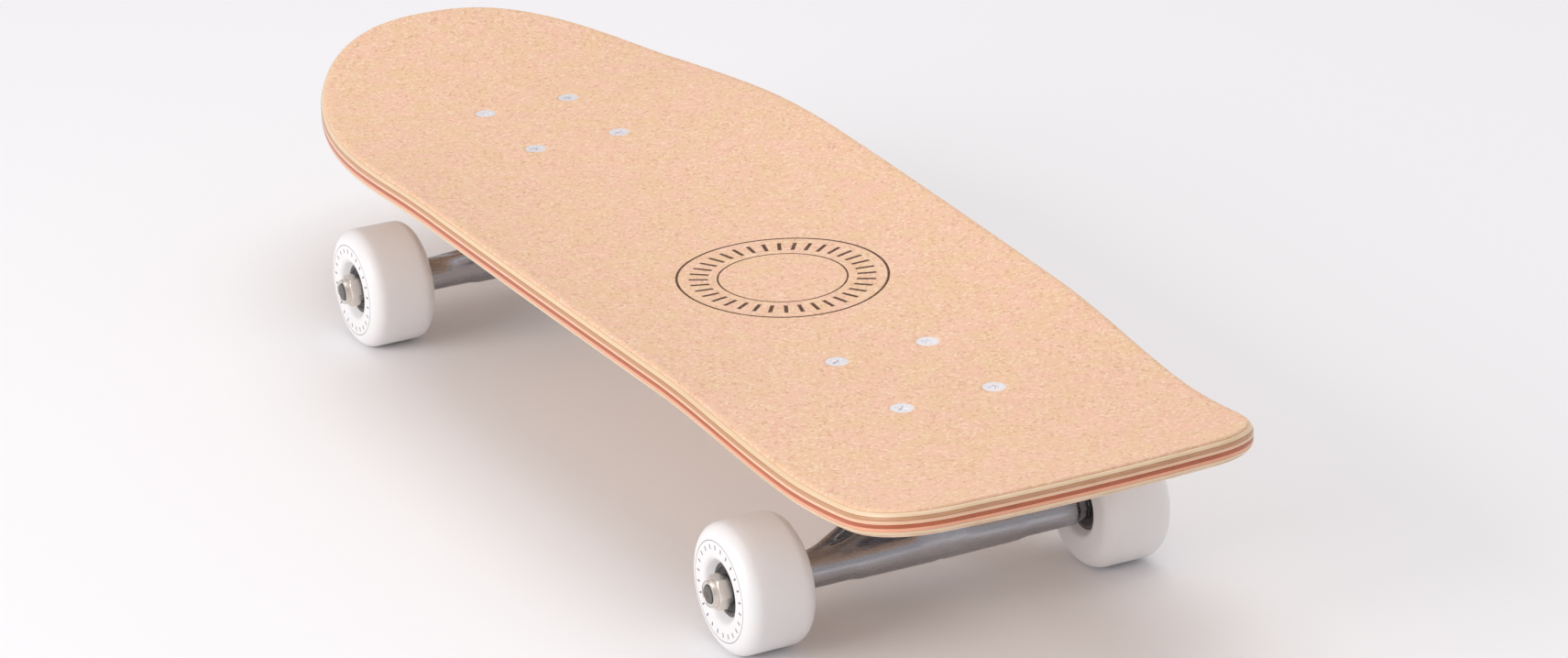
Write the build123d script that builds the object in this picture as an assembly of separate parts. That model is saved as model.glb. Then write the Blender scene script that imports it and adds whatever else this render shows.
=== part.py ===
from build123d import *
import os
from math import cos, pi, radians, sin, sqrt

# A small kicktail cruiser skateboard, standing on its four wheels.
# Millimetres. +X towards the nose, +Y to the rider's left, +Z up, the floor at z = 0.
# The origin is on the floor, under the middle of the deck's length and width.

# ---- deck ----
deck_length = 622.0
deck_width = 200.0
tail_width = 174.0          # width where the tail's corners begin
tail_corner_r = 34.0
tail_bow = 2.6              # how far the tail's end bulges past its corners
nose_reach = 190.0          # from the widest place to the nose's tip
nose_square_x = 2.05        # superellipse exponents of the nose
nose_square_y = 2.4
taper_power = 1.5           # how the sides draw in from the widest place to the tail
tail_overhang = 137.0       # from the rear bolt pattern's centre to the tail's end
wheelbase = 340.0           # from bolt pattern centre to bolt pattern centre
ply_count = 7
ply_thickness = 1.4
glue_line = 0.05
grip_thickness = 1.0
edge_round = 4.0            # radius of the rounded deck edge
concave_depth = 7.7
concave_power = 2.2
kick_power = 1.7
tail_kick = 9.5
tail_kick_run = 74.0
nose_kick = 11.7
nose_kick_run = 90.0
tail_fade_end = 71.0        # concave is gone this far from the tail's end
tail_fade_run = 110.0
nose_fade_end = 75.0
nose_fade_run = 160.0
surface_margin = 8.0        # the bending surface reaches this far past the outline

# ---- mounting bolts ----
hole_spacing_x = 53.98
hole_spacing_y = 41.3
bolt_r = 2.4
bolt_head_r = 4.75
bolt_head_height = 2.5
bolt_length = 25.4
bolt_clearance = 0.1
countersink_clearance = 0.05
drive_slot_length = 5.0
drive_slot_width = 0.9
drive_slot_depth = 1.5
mount_nut_flats = 9.5
mount_nut_height = 5.0
thread_clearance = 0.02

# ---- truck: u is measured inboard from the bolt pattern's centre, z down from the deck's underside ----
flange_length = 80.0
flange_width = 56.0
flange_thickness = 5.5
flange_corner_r = 7.0
truck_height = 54.75        # baseplate top to axle centre
baseplate_gap = 0.1         # between the flat baseplate and the deck, which is a little curved
axle_offset = 14.0          # axle outboard of the bolt pattern's centre
ring_u = 13.0
ring_z = -36.0
kingpin_tilt = 25.0
pivot_u = -31.0
pivot_z = -14.5
pivot_stem_angle = 50.0
pivot_ball_r = 5.0
pivot_gap = 0.3
pivot_cup_wall = 2.2
pivot_cup_depth = 8.0
pivot_cup_mouth = 4.0
pivot_cup_flare = 1.6
pivot_housing_wall = 3.2
pivot_stem_length = 34.0
pivot_stem_root_r = 9.0
kingpin_r = 4.76
kingpin_head_r = 8.0
kingpin_head_height = 5.0
kingpin_clearance = 0.06
kingpin_boss_r = 14.0
ring_r = 14.5
ring_thickness = 8.0
ring_bore_r = 7.6
boardside_height = 14.0
roadside_height = 11.0
bushing_r = 12.4
roadside_tip_r = 9.5
bushing_gap = 0.2
bushing_neck_r = 6.9
bushing_neck_height = 2.5
cup_washer_r = 13.3
cup_washer_thickness = 1.5
cup_washer_lip = 2.0
small_washer_r = 11.4
kingpin_nut_flats = 14.3
kingpin_nut_height = 8.0
kingpin_stick_out = 2.0
web_thickness = 4.0
web_depth = 4.0

# ---- hanger and axle ----
hanger_width = 135.0
hanger_tube_r = 7.5
hanger_end_r = 6.6
hanger_end_length = 5.0
wing_root_half = 12.0
wing_tip_inset = 7.5        # from the hanger's end to the wing's tip
wing_reach = 24.0           # from the axle to the wing's root edge, along the leaning wing
wing_tip_rise = 5.0
wing_lean = 51.0            # degrees from upright, towards the bushings' ring
wing_thickness = 6.0
yoke_half_width = 11.0
axle_r = 4.0
axle_stick_out = 0.4        # past the nut
axle_fit = 0.02

# ---- wheels and bearings ----
wheel_r = 27.0
wheel_width = 31.0
wheel_edge_r = 6.5
wheel_recess_r = 11.6
bearing_r = 11.0
bearing_width = 7.0
bearing_fit = 0.02
bearing_spacer_length = 10.0
bearing_spacer_wall = 1.6
wheel_web_r = 9.4           # the rib that keeps the two bearings apart
inner_ring_r = 6.05
outer_ring_bore_r = 9.3
ball_r = 1.984
ball_circle_r = 7.675
ball_count = 7
ball_gap = 0.04
cage_half_width = 0.95
cage_back = 2.5             # the cage's closed side, from the bearing's middle
cage_front = 0.8            # how far its prongs reach past the balls' middle
shield_thickness = 0.3
shield_gap = 0.15
speed_washer_r = 6.0
speed_washer_thickness = 0.9
axle_nut_flats = 12.7
axle_nut_height = 7.5
axle_nut_collar_r = 5.6
axle_nut_collar = 2.2

# ---- worked out from the sizes above ----
tail_x = -deck_length / 2
nose_x = deck_length / 2
widest_x = nose_x - nose_reach
rear_pattern_x = tail_x + tail_overhang
front_pattern_x = rear_pattern_x + wheelbase
wood_thickness = ply_count * ply_thickness + (ply_count - 1) * glue_line
deck_thickness = wood_thickness + grip_thickness + glue_line
deck_top_z = wheel_r + truck_height + baseplate_gap + deck_thickness
underside_z = deck_top_z - deck_thickness
truck_frame_z = underside_z - baseplate_gap
seat_t = -(ring_thickness / 2 + boardside_height + cup_washer_thickness)
hanger_half = hanger_width / 2
wing_tip_half = hanger_half - wing_tip_inset
inner_bearing_y = hanger_half + speed_washer_thickness
outer_bearing_y = inner_bearing_y + bearing_width + bearing_spacer_length
wheel_centre_y = inner_bearing_y + bearing_width + bearing_spacer_length / 2
axle_nut_y = outer_bearing_y + bearing_width + speed_washer_thickness
axle_half = axle_nut_y + axle_nut_height + axle_stick_out


# ---- helpers ----
def smooth_step(value):
    """0 below 0, 1 above 1, and an S curve between."""
    t = min(1.0, max(0.0, value))
    return t * t * (3 - 2 * t)


def revolved(profile):
    """A solid of revolution about Z from (radius, height) points, closed."""
    face = make_face(Polyline(*[(r, 0, h) for r, h in profile], close=True))
    return revolve(face, Axis.Z)


def ring(outer_r, inner_r, height):
    """A flat ring standing on z = 0."""
    return revolved([(inner_r, 0), (outer_r, 0), (outer_r, height), (inner_r, height)])


def hex_nut(flats, height, bore_r):
    """A hexagonal nut standing on z = 0, its corners chamfered by a cone at both ends."""
    corner_r = flats / 2 / cos(pi / 6)
    blank = extrude(RegularPolygon(corner_r, 6), height)
    bevel = corner_r - flats / 2
    trim = revolved([(0, 0), (flats / 2, 0), (corner_r, bevel * 0.6),
                     (corner_r, height - bevel * 0.6), (flats / 2, height), (0, height)])
    return (blank & trim) - Cylinder(bore_r, 3 * height)


def along_kingpin(t):
    """The place on the kingpin's axis t below the hanger ring's centre; local +Z points to the nut."""
    tilt = radians(kingpin_tilt)
    u = ring_u + t * sin(tilt)
    z = ring_z - t * cos(tilt)
    return Plane((u, 0, z), x_dir=(0, 1, 0), z_dir=(sin(tilt), 0, -cos(tilt))).location


def along_pivot(s):
    """The place on the pivot stem's axis s below the pivot ball's centre; local +Z points to the hanger."""
    angle = radians(pivot_stem_angle)
    u = pivot_u + s * cos(angle)
    z = pivot_z - s * sin(angle)
    return Plane((u, 0, z), x_dir=(0, 1, 0), z_dir=(cos(angle), 0, -sin(angle))).location


def along_axle(y):
    """A place on the axle, local +Z pointing outwards on that side of the truck."""
    side = 1 if y >= 0 else -1
    return Plane((-axle_offset, y, -truck_height), x_dir=(1, 0, 0), z_dir=(0, side, 0)).location


def hole_places():
    """The four bolt places of a pattern, about its centre."""
    return [(sx * hole_spacing_x / 2, sy * hole_spacing_y / 2) for sx in (-1, 1) for sy in (-1, 1)]


def truck_location(name):
    """Where a truck's frame sits on the deck: the front truck is turned to face the rear one."""
    if name == "front":
        return Location((front_pattern_x, 0, truck_frame_z), (0, 0, 180))
    return Location((rear_pattern_x, 0, truck_frame_z))


# ---- deck ----
def half_width(x):
    """Half the deck's width at x, from the tail's corner to the widest place."""
    run = widest_x - (tail_x + tail_corner_r)
    share = (widest_x - x) / run
    return deck_width / 2 - (deck_width - tail_width) / 2 * share ** taper_power


def deck_rise(x, y):
    """How far the deck's surface lies over its flat middle: concave across, kicked at both ends."""
    fade = smooth_step((x - tail_x - tail_fade_end) / tail_fade_run)
    fade *= smooth_step((nose_x - nose_fade_end - x) / nose_fade_run)
    concave = concave_depth * fade * (2 * abs(y) / deck_width) ** concave_power
    tail_share = max(0.0, (tail_x + tail_kick_run - x) / tail_kick_run)
    nose_share = max(0.0, (x - nose_x + nose_kick_run) / nose_kick_run)
    return concave + tail_kick * tail_share ** kick_power + nose_kick * nose_share ** kick_power


def deck_outline(inset):
    """The deck's outline as a face, drawn in all round by inset."""
    side_stations = 6
    start_x = tail_x + tail_corner_r
    side = []
    for i in range(side_stations):
        x = start_x + (widest_x - start_x) * i / side_stations
        side.append((x, half_width(x) - inset))
    side.append((widest_x, deck_width / 2 - inset))
    nose_stations = 5
    for i in range(1, nose_stations):
        t = pi / 2 * i / nose_stations
        x = widest_x + (nose_reach - inset) * sin(t) ** (2 / nose_square_x)
        side.append((x, (deck_width / 2 - inset) * cos(t) ** (2 / nose_square_y)))
    tip = (nose_x - inset, 0)
    mirrored = [(x, -y) for x, y in reversed(side)]
    corner = side[0]
    corner_r = tail_corner_r - inset
    end_y = corner[1] - corner_r
    end_x = corner[0] - corner_r + tail_bow
    edge = Spline(*side, tip, *mirrored, tangents=[(1, 0.02), (-1, 0.02)])
    left = RadiusArc((end_x, end_y), corner, corner_r)
    right = RadiusArc((corner[0], -corner[1]), (end_x, -end_y), corner_r)
    tail = ThreePointArc((end_x, -end_y), (tail_x + inset, 0), (end_x, end_y))
    return make_face([edge, right, tail, left])


def deck_surface():
    """The deck's bending surface at the height of the grip's top, wider than the outline."""
    x_stations = 29
    y_stations = 11
    x_low = tail_x - surface_margin
    y_low = -deck_width / 2 - surface_margin
    rows = []
    for i in range(x_stations):
        x = x_low - 2 * x_low * i / (x_stations - 1)
        row = []
        for j in range(y_stations):
            y = y_low - 2 * y_low * j / (y_stations - 1)
            row.append(Vector(x, y, deck_top_z + deck_rise(x, y)))
        rows.append(row)
    return Face.make_surface_from_array_of_points(rows)


def layer_inset(depth):
    """How far the rounded edge draws a layer in, for the middle of that layer at this depth."""
    below = deck_thickness - depth
    reach = edge_round - min(depth, below)
    if reach <= 0:
        return 0.0
    return edge_round - sqrt(edge_round ** 2 - reach ** 2)


def bolt_places():
    """The eight bolt places on the deck."""
    return [(px + x, y) for px in (front_pattern_x, rear_pattern_x) for x, y in hole_places()]


def layer_hole_r(depth):
    """A layer's hole radius: the countersunk head's radius at the layer's top, or the shank's below it."""
    slope = (bolt_head_r - bolt_r) / bolt_head_height
    head_r = bolt_head_r - max(0.0, depth) * slope + countersink_clearance
    return max(head_r, bolt_r + bolt_clearance)


def deck_layer(surface, top_depth, thickness):
    """One layer of the deck: its outline with eight holes, cut from a slab that follows the surface."""
    sheet = Pos(0, 0, -top_depth) * surface
    slab = Solid.extrude(sheet, Vector(0, 0, -thickness))
    outline = deck_outline(layer_inset(top_depth + thickness / 2))
    for x, y in bolt_places():
        outline = outline - Pos(x, y) * Circle(layer_hole_r(top_depth))
    column = extrude(Pos(0, 0, underside_z - deck_thickness) * outline, 4 * deck_thickness + nose_kick)
    return column & slab


def deck_parts():
    """The grip sheet and the plies, top to bottom."""
    surface = deck_surface()
    parts = {"grip_sheet": deck_layer(surface, 0.0, grip_thickness)}
    depth = grip_thickness + glue_line
    for number in range(1, ply_count + 1):
        parts[f"deck_ply_{number}"] = deck_layer(surface, depth, ply_thickness)
        depth += ply_thickness + glue_line
    return parts


# ---- mounting bolts and nuts ----
def mount_bolt():
    """A countersunk bolt with a cross recess, its head's top at z = 0."""
    body = revolved([(0, 0), (bolt_head_r, 0), (bolt_r, -bolt_head_height + 0.05),
                     (bolt_r, -bolt_length), (0, -bolt_length)])
    for turn in (0, 90):
        slot = Box(drive_slot_length, drive_slot_width, 2 * drive_slot_depth)
        body = body - Rot(0, 0, turn) * slot
    return body


def fastener_parts():
    """Eight bolts and eight locking nuts, each group in one node."""
    nut = hex_nut(mount_nut_flats, mount_nut_height, bolt_r + thread_clearance)
    nut_z = truck_frame_z - flange_thickness - mount_nut_height
    bolts = [Pos(x, y, deck_top_z + deck_rise(x, y)) * mount_bolt() for x, y in bolt_places()]
    nuts = [Pos(x, y, nut_z) * nut for x, y in bolt_places()]
    return {"mount_bolts": Compound(children=bolts), "mount_nuts": Compound(children=nuts)}


# ---- baseplate, kingpin and bushings ----
def baseplate():
    """Flange, kingpin boss and pivot housing, cast in one piece."""
    flange = extrude(RectangleRounded(flange_length, flange_width, flange_corner_r), -flange_thickness)
    cup_r = pivot_ball_r + pivot_gap + pivot_cup_wall
    housing_r = cup_r + pivot_housing_wall
    housing_length = pivot_cup_depth + pivot_housing_wall + pivot_cup_mouth - 1
    housing_top = -(pivot_cup_depth + pivot_housing_wall)
    housing = along_pivot(housing_top) * extrude(Circle(housing_r), housing_length)
    boss_length = 30.0
    boss = along_kingpin(seat_t - boss_length) * extrude(Circle(kingpin_boss_r), boss_length)
    web_length = ring_u - pivot_u - 14
    web_z = -flange_thickness - web_depth / 2
    web = Pos(pivot_u + web_length / 2 + 4, 0, web_z) * Box(web_length, 2 * web_thickness, web_depth + 1)
    keep = Pos(0, 0, -25) * Box(flange_length + 2, flange_width, 50)
    body = (flange + housing + boss + web) & keep
    for x, y in hole_places():
        body = body - Pos(x, y, 0) * Cylinder(bolt_r + bolt_clearance, 4 * flange_thickness)
    cup_space = extrude(Circle(cup_r + kingpin_clearance), pivot_cup_depth + 3 * pivot_cup_mouth)
    body = body - along_pivot(-pivot_cup_depth) * cup_space
    body = body - along_kingpin(0) * Cylinder(kingpin_r + kingpin_clearance, 120)
    pocket = extrude(Circle(kingpin_head_r + kingpin_clearance), -20)
    return body - along_kingpin(kingpin_head_t()) * pocket


def kingpin_head_t():
    """Where the kingpin head's underside lies along its axis, its top edge just inside the flange."""
    tilt = radians(kingpin_tilt)
    top_z = -kingpin_head_r * sin(tilt) - 0.3
    top_t = (ring_z - top_z) / cos(tilt)
    return top_t + kingpin_head_height


def kingpin():
    """The kingpin: a round head, a plain shank and its end past the nut."""
    head_t = kingpin_head_t()
    end_t = ring_thickness / 2 + roadside_height + cup_washer_thickness + kingpin_nut_height
    end_t += kingpin_stick_out
    head = extrude(Circle(kingpin_head_r), -kingpin_head_height)
    shank = extrude(Circle(kingpin_r), end_t - head_t)
    return along_kingpin(head_t) * (head + shank)


def pivot_cup():
    """The plastic cup that the hanger's pivot turns in: a hemisphere with a flared mouth."""
    inner_r = pivot_ball_r + pivot_gap
    outer_r = inner_r + pivot_cup_wall
    block = extrude(Circle(outer_r), pivot_cup_depth + pivot_cup_mouth)
    block = Pos(0, 0, -pivot_cup_depth) * block
    flare = revolved([(0, 0), (inner_r, 0), (inner_r + pivot_cup_flare, pivot_cup_mouth + 0.01),
                      (0, pivot_cup_mouth + 0.01)])
    return along_pivot(0) * (block - Sphere(inner_r) - flare)


def boardside_bushing():
    """The taller barrel bushing between baseplate and hanger ring."""
    bore_r = kingpin_r + 0.3
    height = boardside_height - bushing_gap
    mouth = height / 5
    body = revolved([(bore_r, 0), (bushing_r - 0.8, 0), (bushing_r, mouth), (bushing_r, height - mouth),
                     (bushing_r - 0.8, height), (bushing_neck_r, height),
                     (bushing_neck_r, height + bushing_neck_height), (bore_r, height + bushing_neck_height)])
    return along_kingpin(seat_t + cup_washer_thickness) * body


def roadside_bushing():
    """The shorter conical bushing between hanger ring and nut."""
    bore_r = kingpin_r + 0.3
    height = roadside_height - bushing_gap
    neck = bushing_neck_height
    body = revolved([(bore_r, -neck), (bushing_neck_r, -neck), (bushing_neck_r, 0), (bushing_r - 0.8, 0),
                     (bushing_r, 1.5), (roadside_tip_r, height), (bore_r, height)])
    return along_kingpin(ring_thickness / 2 + bushing_gap) * body


def cup_washer(outer_r):
    """A dished washer: a disc with a low lip round it, opening towards +Z."""
    bore_r = kingpin_r + 0.2
    lip_r = outer_r - 0.7
    lip_z = cup_washer_thickness + cup_washer_lip
    return revolved([(bore_r, 0), (outer_r, 0), (outer_r, lip_z), (lip_r, lip_z),
                     (lip_r, cup_washer_thickness), (bore_r, cup_washer_thickness)])


def hanger():
    """The hanger: axle tube, wings leaning to the ring, yoke, bushing ring and pivot stem, one casting."""
    length = hanger_width - 2 * hanger_end_length
    tube = along_axle(0) * Cylinder(hanger_tube_r, length)
    ends = along_axle(0) * Cylinder(hanger_end_r, hanger_width)
    ring_part = along_kingpin(0) * Cylinder(ring_r, ring_thickness)
    stem_start = 1.0
    stem = revolved([(0, stem_start), (pivot_ball_r - 0.3, stem_start), (pivot_stem_root_r, pivot_stem_length),
                     (0, pivot_stem_length)])
    stem = along_pivot(0) * (Sphere(pivot_ball_r) + stem)
    yoke_points = [(-axle_offset - 6.5, -truck_height - 2), (-axle_offset - 7, -47), (-19, -40), (-12, -33),
                   (-7, -36), (-2, -40.5), (2.5, -45.5), (-axle_offset + 6, -truck_height - 3)]
    yoke_face = make_face(Polyline(*[(u, 0, z) for u, z in yoke_points], close=True))
    yoke = extrude(yoke_face, yoke_half_width, both=True)
    wing_points = [(-wing_tip_half, 0), (-wing_tip_half, wing_tip_rise), (-wing_root_half, wing_reach),
                   (wing_root_half, wing_reach), (wing_tip_half, wing_tip_rise), (wing_tip_half, 0)]
    wing_face = make_face(Polyline(*[(0, y, rise) for y, rise in wing_points], close=True))
    wings = extrude(wing_face, wing_thickness / 2, both=True)
    wings = Pos(-axle_offset, 0, -truck_height) * Rot(0, wing_lean, 0) * wings
    body = tube + ends + ring_part + stem + yoke + wings
    body = body - along_kingpin(0) * Cylinder(ring_bore_r, 3 * ring_thickness)
    clear_r = bushing_r + 2.6
    clear = extrude(Circle(clear_r), -20)
    body = body - along_kingpin(-ring_thickness / 2) * clear
    return body - along_axle(0) * Cylinder(axle_r + axle_fit, hanger_width + 2)


def truck_parts(name):
    """Every piece of one truck, wheels left out, in that truck's place."""
    washer_t = ring_thickness / 2 + roadside_height + cup_washer_thickness
    nut_t = washer_t
    nut = hex_nut(kingpin_nut_flats, kingpin_nut_height, kingpin_r + thread_clearance)
    flipped = Rot(180, 0, 0)
    pieces = {
        "baseplate": baseplate(),
        "kingpin": kingpin(),
        "pivot_cup": pivot_cup(),
        "boardside_bushing": boardside_bushing(),
        "roadside_bushing": roadside_bushing(),
        "boardside_washer": along_kingpin(seat_t) * cup_washer(cup_washer_r),
        "roadside_washer": along_kingpin(washer_t) * flipped * cup_washer(small_washer_r),
        "kingpin_nut": along_kingpin(nut_t) * nut,
        "hanger": hanger(),
        "axle": along_axle(0) * Cylinder(axle_r, 2 * axle_half),
        "speed_washers": Compound(children=speed_washers()),
        "axle_nuts": Compound(children=axle_nuts()),
        "bearing_inner_rings": Compound(children=inner_rings()),
        "bearing_spacers": Compound(children=bearing_spacers()),
    }
    place = truck_location(name)
    return {f"{name}_{piece}": place * solid for piece, solid in pieces.items()}


# ---- axle hardware ----
def speed_washers():
    """Four thin washers, inside and outside each pair of bearings."""
    washer = ring(speed_washer_r, axle_r + 0.1, speed_washer_thickness)
    starts = (hanger_half, outer_bearing_y + bearing_width)
    return [along_axle(side * y) * washer for side in (-1, 1) for y in starts]


def axle_nuts():
    """Two locking nuts, each with a round collar on its outer end."""
    nut = hex_nut(axle_nut_flats, axle_nut_height - axle_nut_collar, axle_r + thread_clearance)
    collar = ring(axle_nut_collar_r, axle_r + thread_clearance, axle_nut_collar)
    nut = nut + Pos(0, 0, axle_nut_height - axle_nut_collar) * collar
    return [along_axle(side * axle_nut_y) * nut for side in (-1, 1)]


def race_cutter():
    """The ring of space that the balls run in."""
    return Torus(ball_circle_r, ball_r + ball_gap)


def inner_rings():
    """Four bearing inner rings, each grooved for its balls."""
    blank = ring(inner_ring_r, axle_r + axle_fit, bearing_width)
    blank = blank - Pos(0, 0, bearing_width / 2) * race_cutter()
    return [along_axle(side * y) * blank for side in (-1, 1) for y in (inner_bearing_y, outer_bearing_y)]


def bearing_spacers():
    """A tube on the axle between each wheel's two bearings."""
    bore_r = axle_r + 0.1
    tube = ring(bore_r + bearing_spacer_wall, bore_r, bearing_spacer_length)
    return [along_axle(side * (inner_bearing_y + bearing_width)) * tube for side in (-1, 1)]


# ---- wheels ----
def wheel():
    """A wheel about its own axis, centred: round-edged tread, flat faces, two bearing seats and a rib."""
    half = wheel_width / 2
    side_r = wheel_r - wheel_edge_r
    with BuildPart() as body:
        with BuildSketch(Plane.XZ):
            with BuildLine():
                Line((wheel_recess_r, -half), (side_r, -half))
                RadiusArc((side_r, -half), (wheel_r, -half + wheel_edge_r), -wheel_edge_r)
                Line((wheel_r, -half + wheel_edge_r), (wheel_r, half - wheel_edge_r))
                RadiusArc((wheel_r, half - wheel_edge_r), (side_r, half), -wheel_edge_r)
                Line((side_r, half), (wheel_recess_r, half))
                Line((wheel_recess_r, half), (wheel_recess_r, -half))
            make_face()
        revolve(axis=Axis.Z)
    seat_r = bearing_r + bearing_fit
    spacer = bearing_spacer_length / 2
    seat_end = spacer + bearing_width
    core = ring(wheel_recess_r, wheel_web_r, 2 * spacer)
    seats = ring(wheel_recess_r, seat_r, 2 * seat_end)
    return body.part + Pos(0, 0, -spacer) * core + Pos(0, 0, -seat_end) * seats


def outer_ring():
    """A bearing's outer ring, standing on z = 0: bored out, with a groove for the balls."""
    blank = ring(bearing_r, outer_ring_bore_r, bearing_width)
    return blank - Pos(0, 0, bearing_width / 2) * race_cutter()


def ball_cage():
    """A crown cage: closed on one side, open between its prongs on the other, with a pocket for each ball."""
    depth = cage_back + cage_front
    cage = ring(ball_circle_r + cage_half_width, ball_circle_r - cage_half_width, depth)
    cage = Pos(0, 0, -cage_front) * cage
    for i in range(ball_count):
        place = Rot(0, 0, 360 * i / ball_count) * Pos(ball_circle_r, 0, 0)
        cage = cage - place * Sphere(ball_r + ball_gap)
    return cage


def balls():
    """A bearing's balls about its middle."""
    return [Rot(0, 0, 360 * i / ball_count) * Pos(ball_circle_r, 0, 0) * Sphere(ball_r)
            for i in range(ball_count)]


def wheel_parts(truck, side_name, side):
    """One wheel with everything that turns with it."""
    prefix = f"{truck}_{side_name}"
    place = truck_location(truck)
    # The front truck is turned half round, so its left wheel lies on its own frame's right.
    local_side = side if truck == "rear" else -side
    starts = [inner_bearing_y, outer_bearing_y]
    bearing = [place * along_axle(local_side * y) for y in starts]
    middle = [p * Pos(0, 0, bearing_width / 2) for p in bearing]
    shield = ring(outer_ring_bore_r - 0.02, inner_ring_r + shield_gap, shield_thickness)
    low = shield_gap
    high = bearing_width - shield_gap - shield_thickness
    shields = [p * Pos(0, 0, z) * shield for p in bearing for z in (low, high)]
    return {
        f"{prefix}_wheel": place * along_axle(local_side * wheel_centre_y) * wheel(),
        f"{prefix}_bearing_outer_rings": Compound(children=[p * outer_ring() for p in bearing]),
        f"{prefix}_bearing_balls": Compound(children=[p * ball for p in middle for ball in balls()]),
        f"{prefix}_bearing_cages": Compound(children=[p * ball_cage() for p in middle]),
        f"{prefix}_bearing_shields": Compound(children=shields),
    }


def main():
    """Builds every piece and writes one STEP file for each node."""
    os.makedirs("parts", exist_ok=True)
    parts = deck_parts()
    parts.update(fastener_parts())
    for truck in ("front", "rear"):
        parts.update(truck_parts(truck))
        for side_name, side in (("left", 1), ("right", -1)):
            parts.update(wheel_parts(truck, side_name, side))
    for name, piece in parts.items():
        export_step(piece, f"parts/{name}.step")
    print(len(parts), "nodes written")


main()
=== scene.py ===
"""The looks of a small kicktail cruiser skateboard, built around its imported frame.

Every length is in metres and every place is in the frame's own axes: +X to the nose, +Y to the
rider's left, +Z up, the floor at z = 0. Each sub-assembly is a class that makes its meshes as
numpy grids or implicit surfaces and dresses them in procedural finishes.
"""

import logging
from dataclasses import dataclass, field
from enum import Enum
from math import cos, pi, radians, sin, tau
from typing import Callable

import bmesh
import bpy
import numpy as np
from mathutils import Matrix, Vector
from mathutils.geometry import delaunay_2d_cdt


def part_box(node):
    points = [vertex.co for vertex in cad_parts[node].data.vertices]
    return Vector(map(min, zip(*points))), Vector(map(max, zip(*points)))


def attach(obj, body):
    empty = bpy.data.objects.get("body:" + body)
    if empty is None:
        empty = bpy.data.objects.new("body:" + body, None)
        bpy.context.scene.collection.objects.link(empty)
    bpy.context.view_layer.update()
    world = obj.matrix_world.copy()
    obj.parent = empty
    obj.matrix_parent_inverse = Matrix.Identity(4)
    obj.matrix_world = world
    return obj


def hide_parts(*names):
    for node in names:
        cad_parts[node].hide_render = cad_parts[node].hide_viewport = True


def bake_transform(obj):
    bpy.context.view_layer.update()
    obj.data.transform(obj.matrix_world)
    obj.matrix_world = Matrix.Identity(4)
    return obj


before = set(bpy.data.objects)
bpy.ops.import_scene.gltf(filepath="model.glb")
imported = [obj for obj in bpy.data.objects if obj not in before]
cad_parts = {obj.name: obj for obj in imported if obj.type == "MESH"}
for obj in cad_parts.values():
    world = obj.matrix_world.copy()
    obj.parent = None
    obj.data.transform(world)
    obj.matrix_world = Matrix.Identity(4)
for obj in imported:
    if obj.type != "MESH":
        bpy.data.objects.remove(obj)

LOG = logging.getLogger("cruiser")
MM = 0.001
Array = np.ndarray
Colour = tuple[float, float, float]

# the frame's X axis, which places with a free turn are turned to
ALONG = np.array([1.0, 0.0, 0.0])
# where nearly all values of a noise texture lie
NOISE_RANGE = (0.3, 0.7)
# sizes that several pieces share, in millimetres
AXLE_R = 4.0
KINGPIN_R = 4.76
BEARING_WIDTH = 7.0


class Side(Enum):
    """Which end of an axle a piece is on, as the sign of its Y."""

    LEFT = 1
    RIGHT = -1


class Truck(Enum):
    """Which truck a piece belongs to. The value is the X direction that is inboard for it."""

    FRONT = -1
    REAR = 1

    @property
    def label(self) -> str:
        """The truck's name as the frame spells it."""
        return self.name.lower()


def corners(node: str) -> tuple[Array, Array]:
    """The lowest and highest corner of a frame node.

    Args:
        node: the frame node's name.

    Returns:
        Two points.
    """
    low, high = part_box(node)
    return np.array(low), np.array(high)


def unit(vector: Array) -> Array:
    """The vector at length one.

    Args:
        vector: any vector but zero.

    Returns:
        The unit vector.
    """
    return vector / np.linalg.norm(vector)


# ---------------------------------------------------------------- places

@dataclass(frozen=True)
class Place:
    """A place for a piece: an origin and three axes, as the columns of a matrix."""

    origin: Array
    axes: Array

    def points(self, local: Array) -> Array:
        """Local points moved to this place.

        Args:
            local: points, their last axis being x, y, z.

        Returns:
            The same points in the frame's axes: the origin plus each axis times its coordinate.
        """
        return local @ self.axes.T + self.origin


def aimed(origin: Array, direction: Array, across: Array) -> Place:
    """A place whose third axis points along a direction.

    Args:
        origin: where the place is.
        direction: where its third axis points.
        across: a direction square to it, for its first axis.

    Returns:
        The place, with right-handed axes.
    """
    third = unit(direction)
    first = unit(across - third * (across @ third))
    return Place(origin, np.stack([first, np.cross(third, first), third], axis=1))


# ---------------------------------------------------------------- meshes

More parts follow.
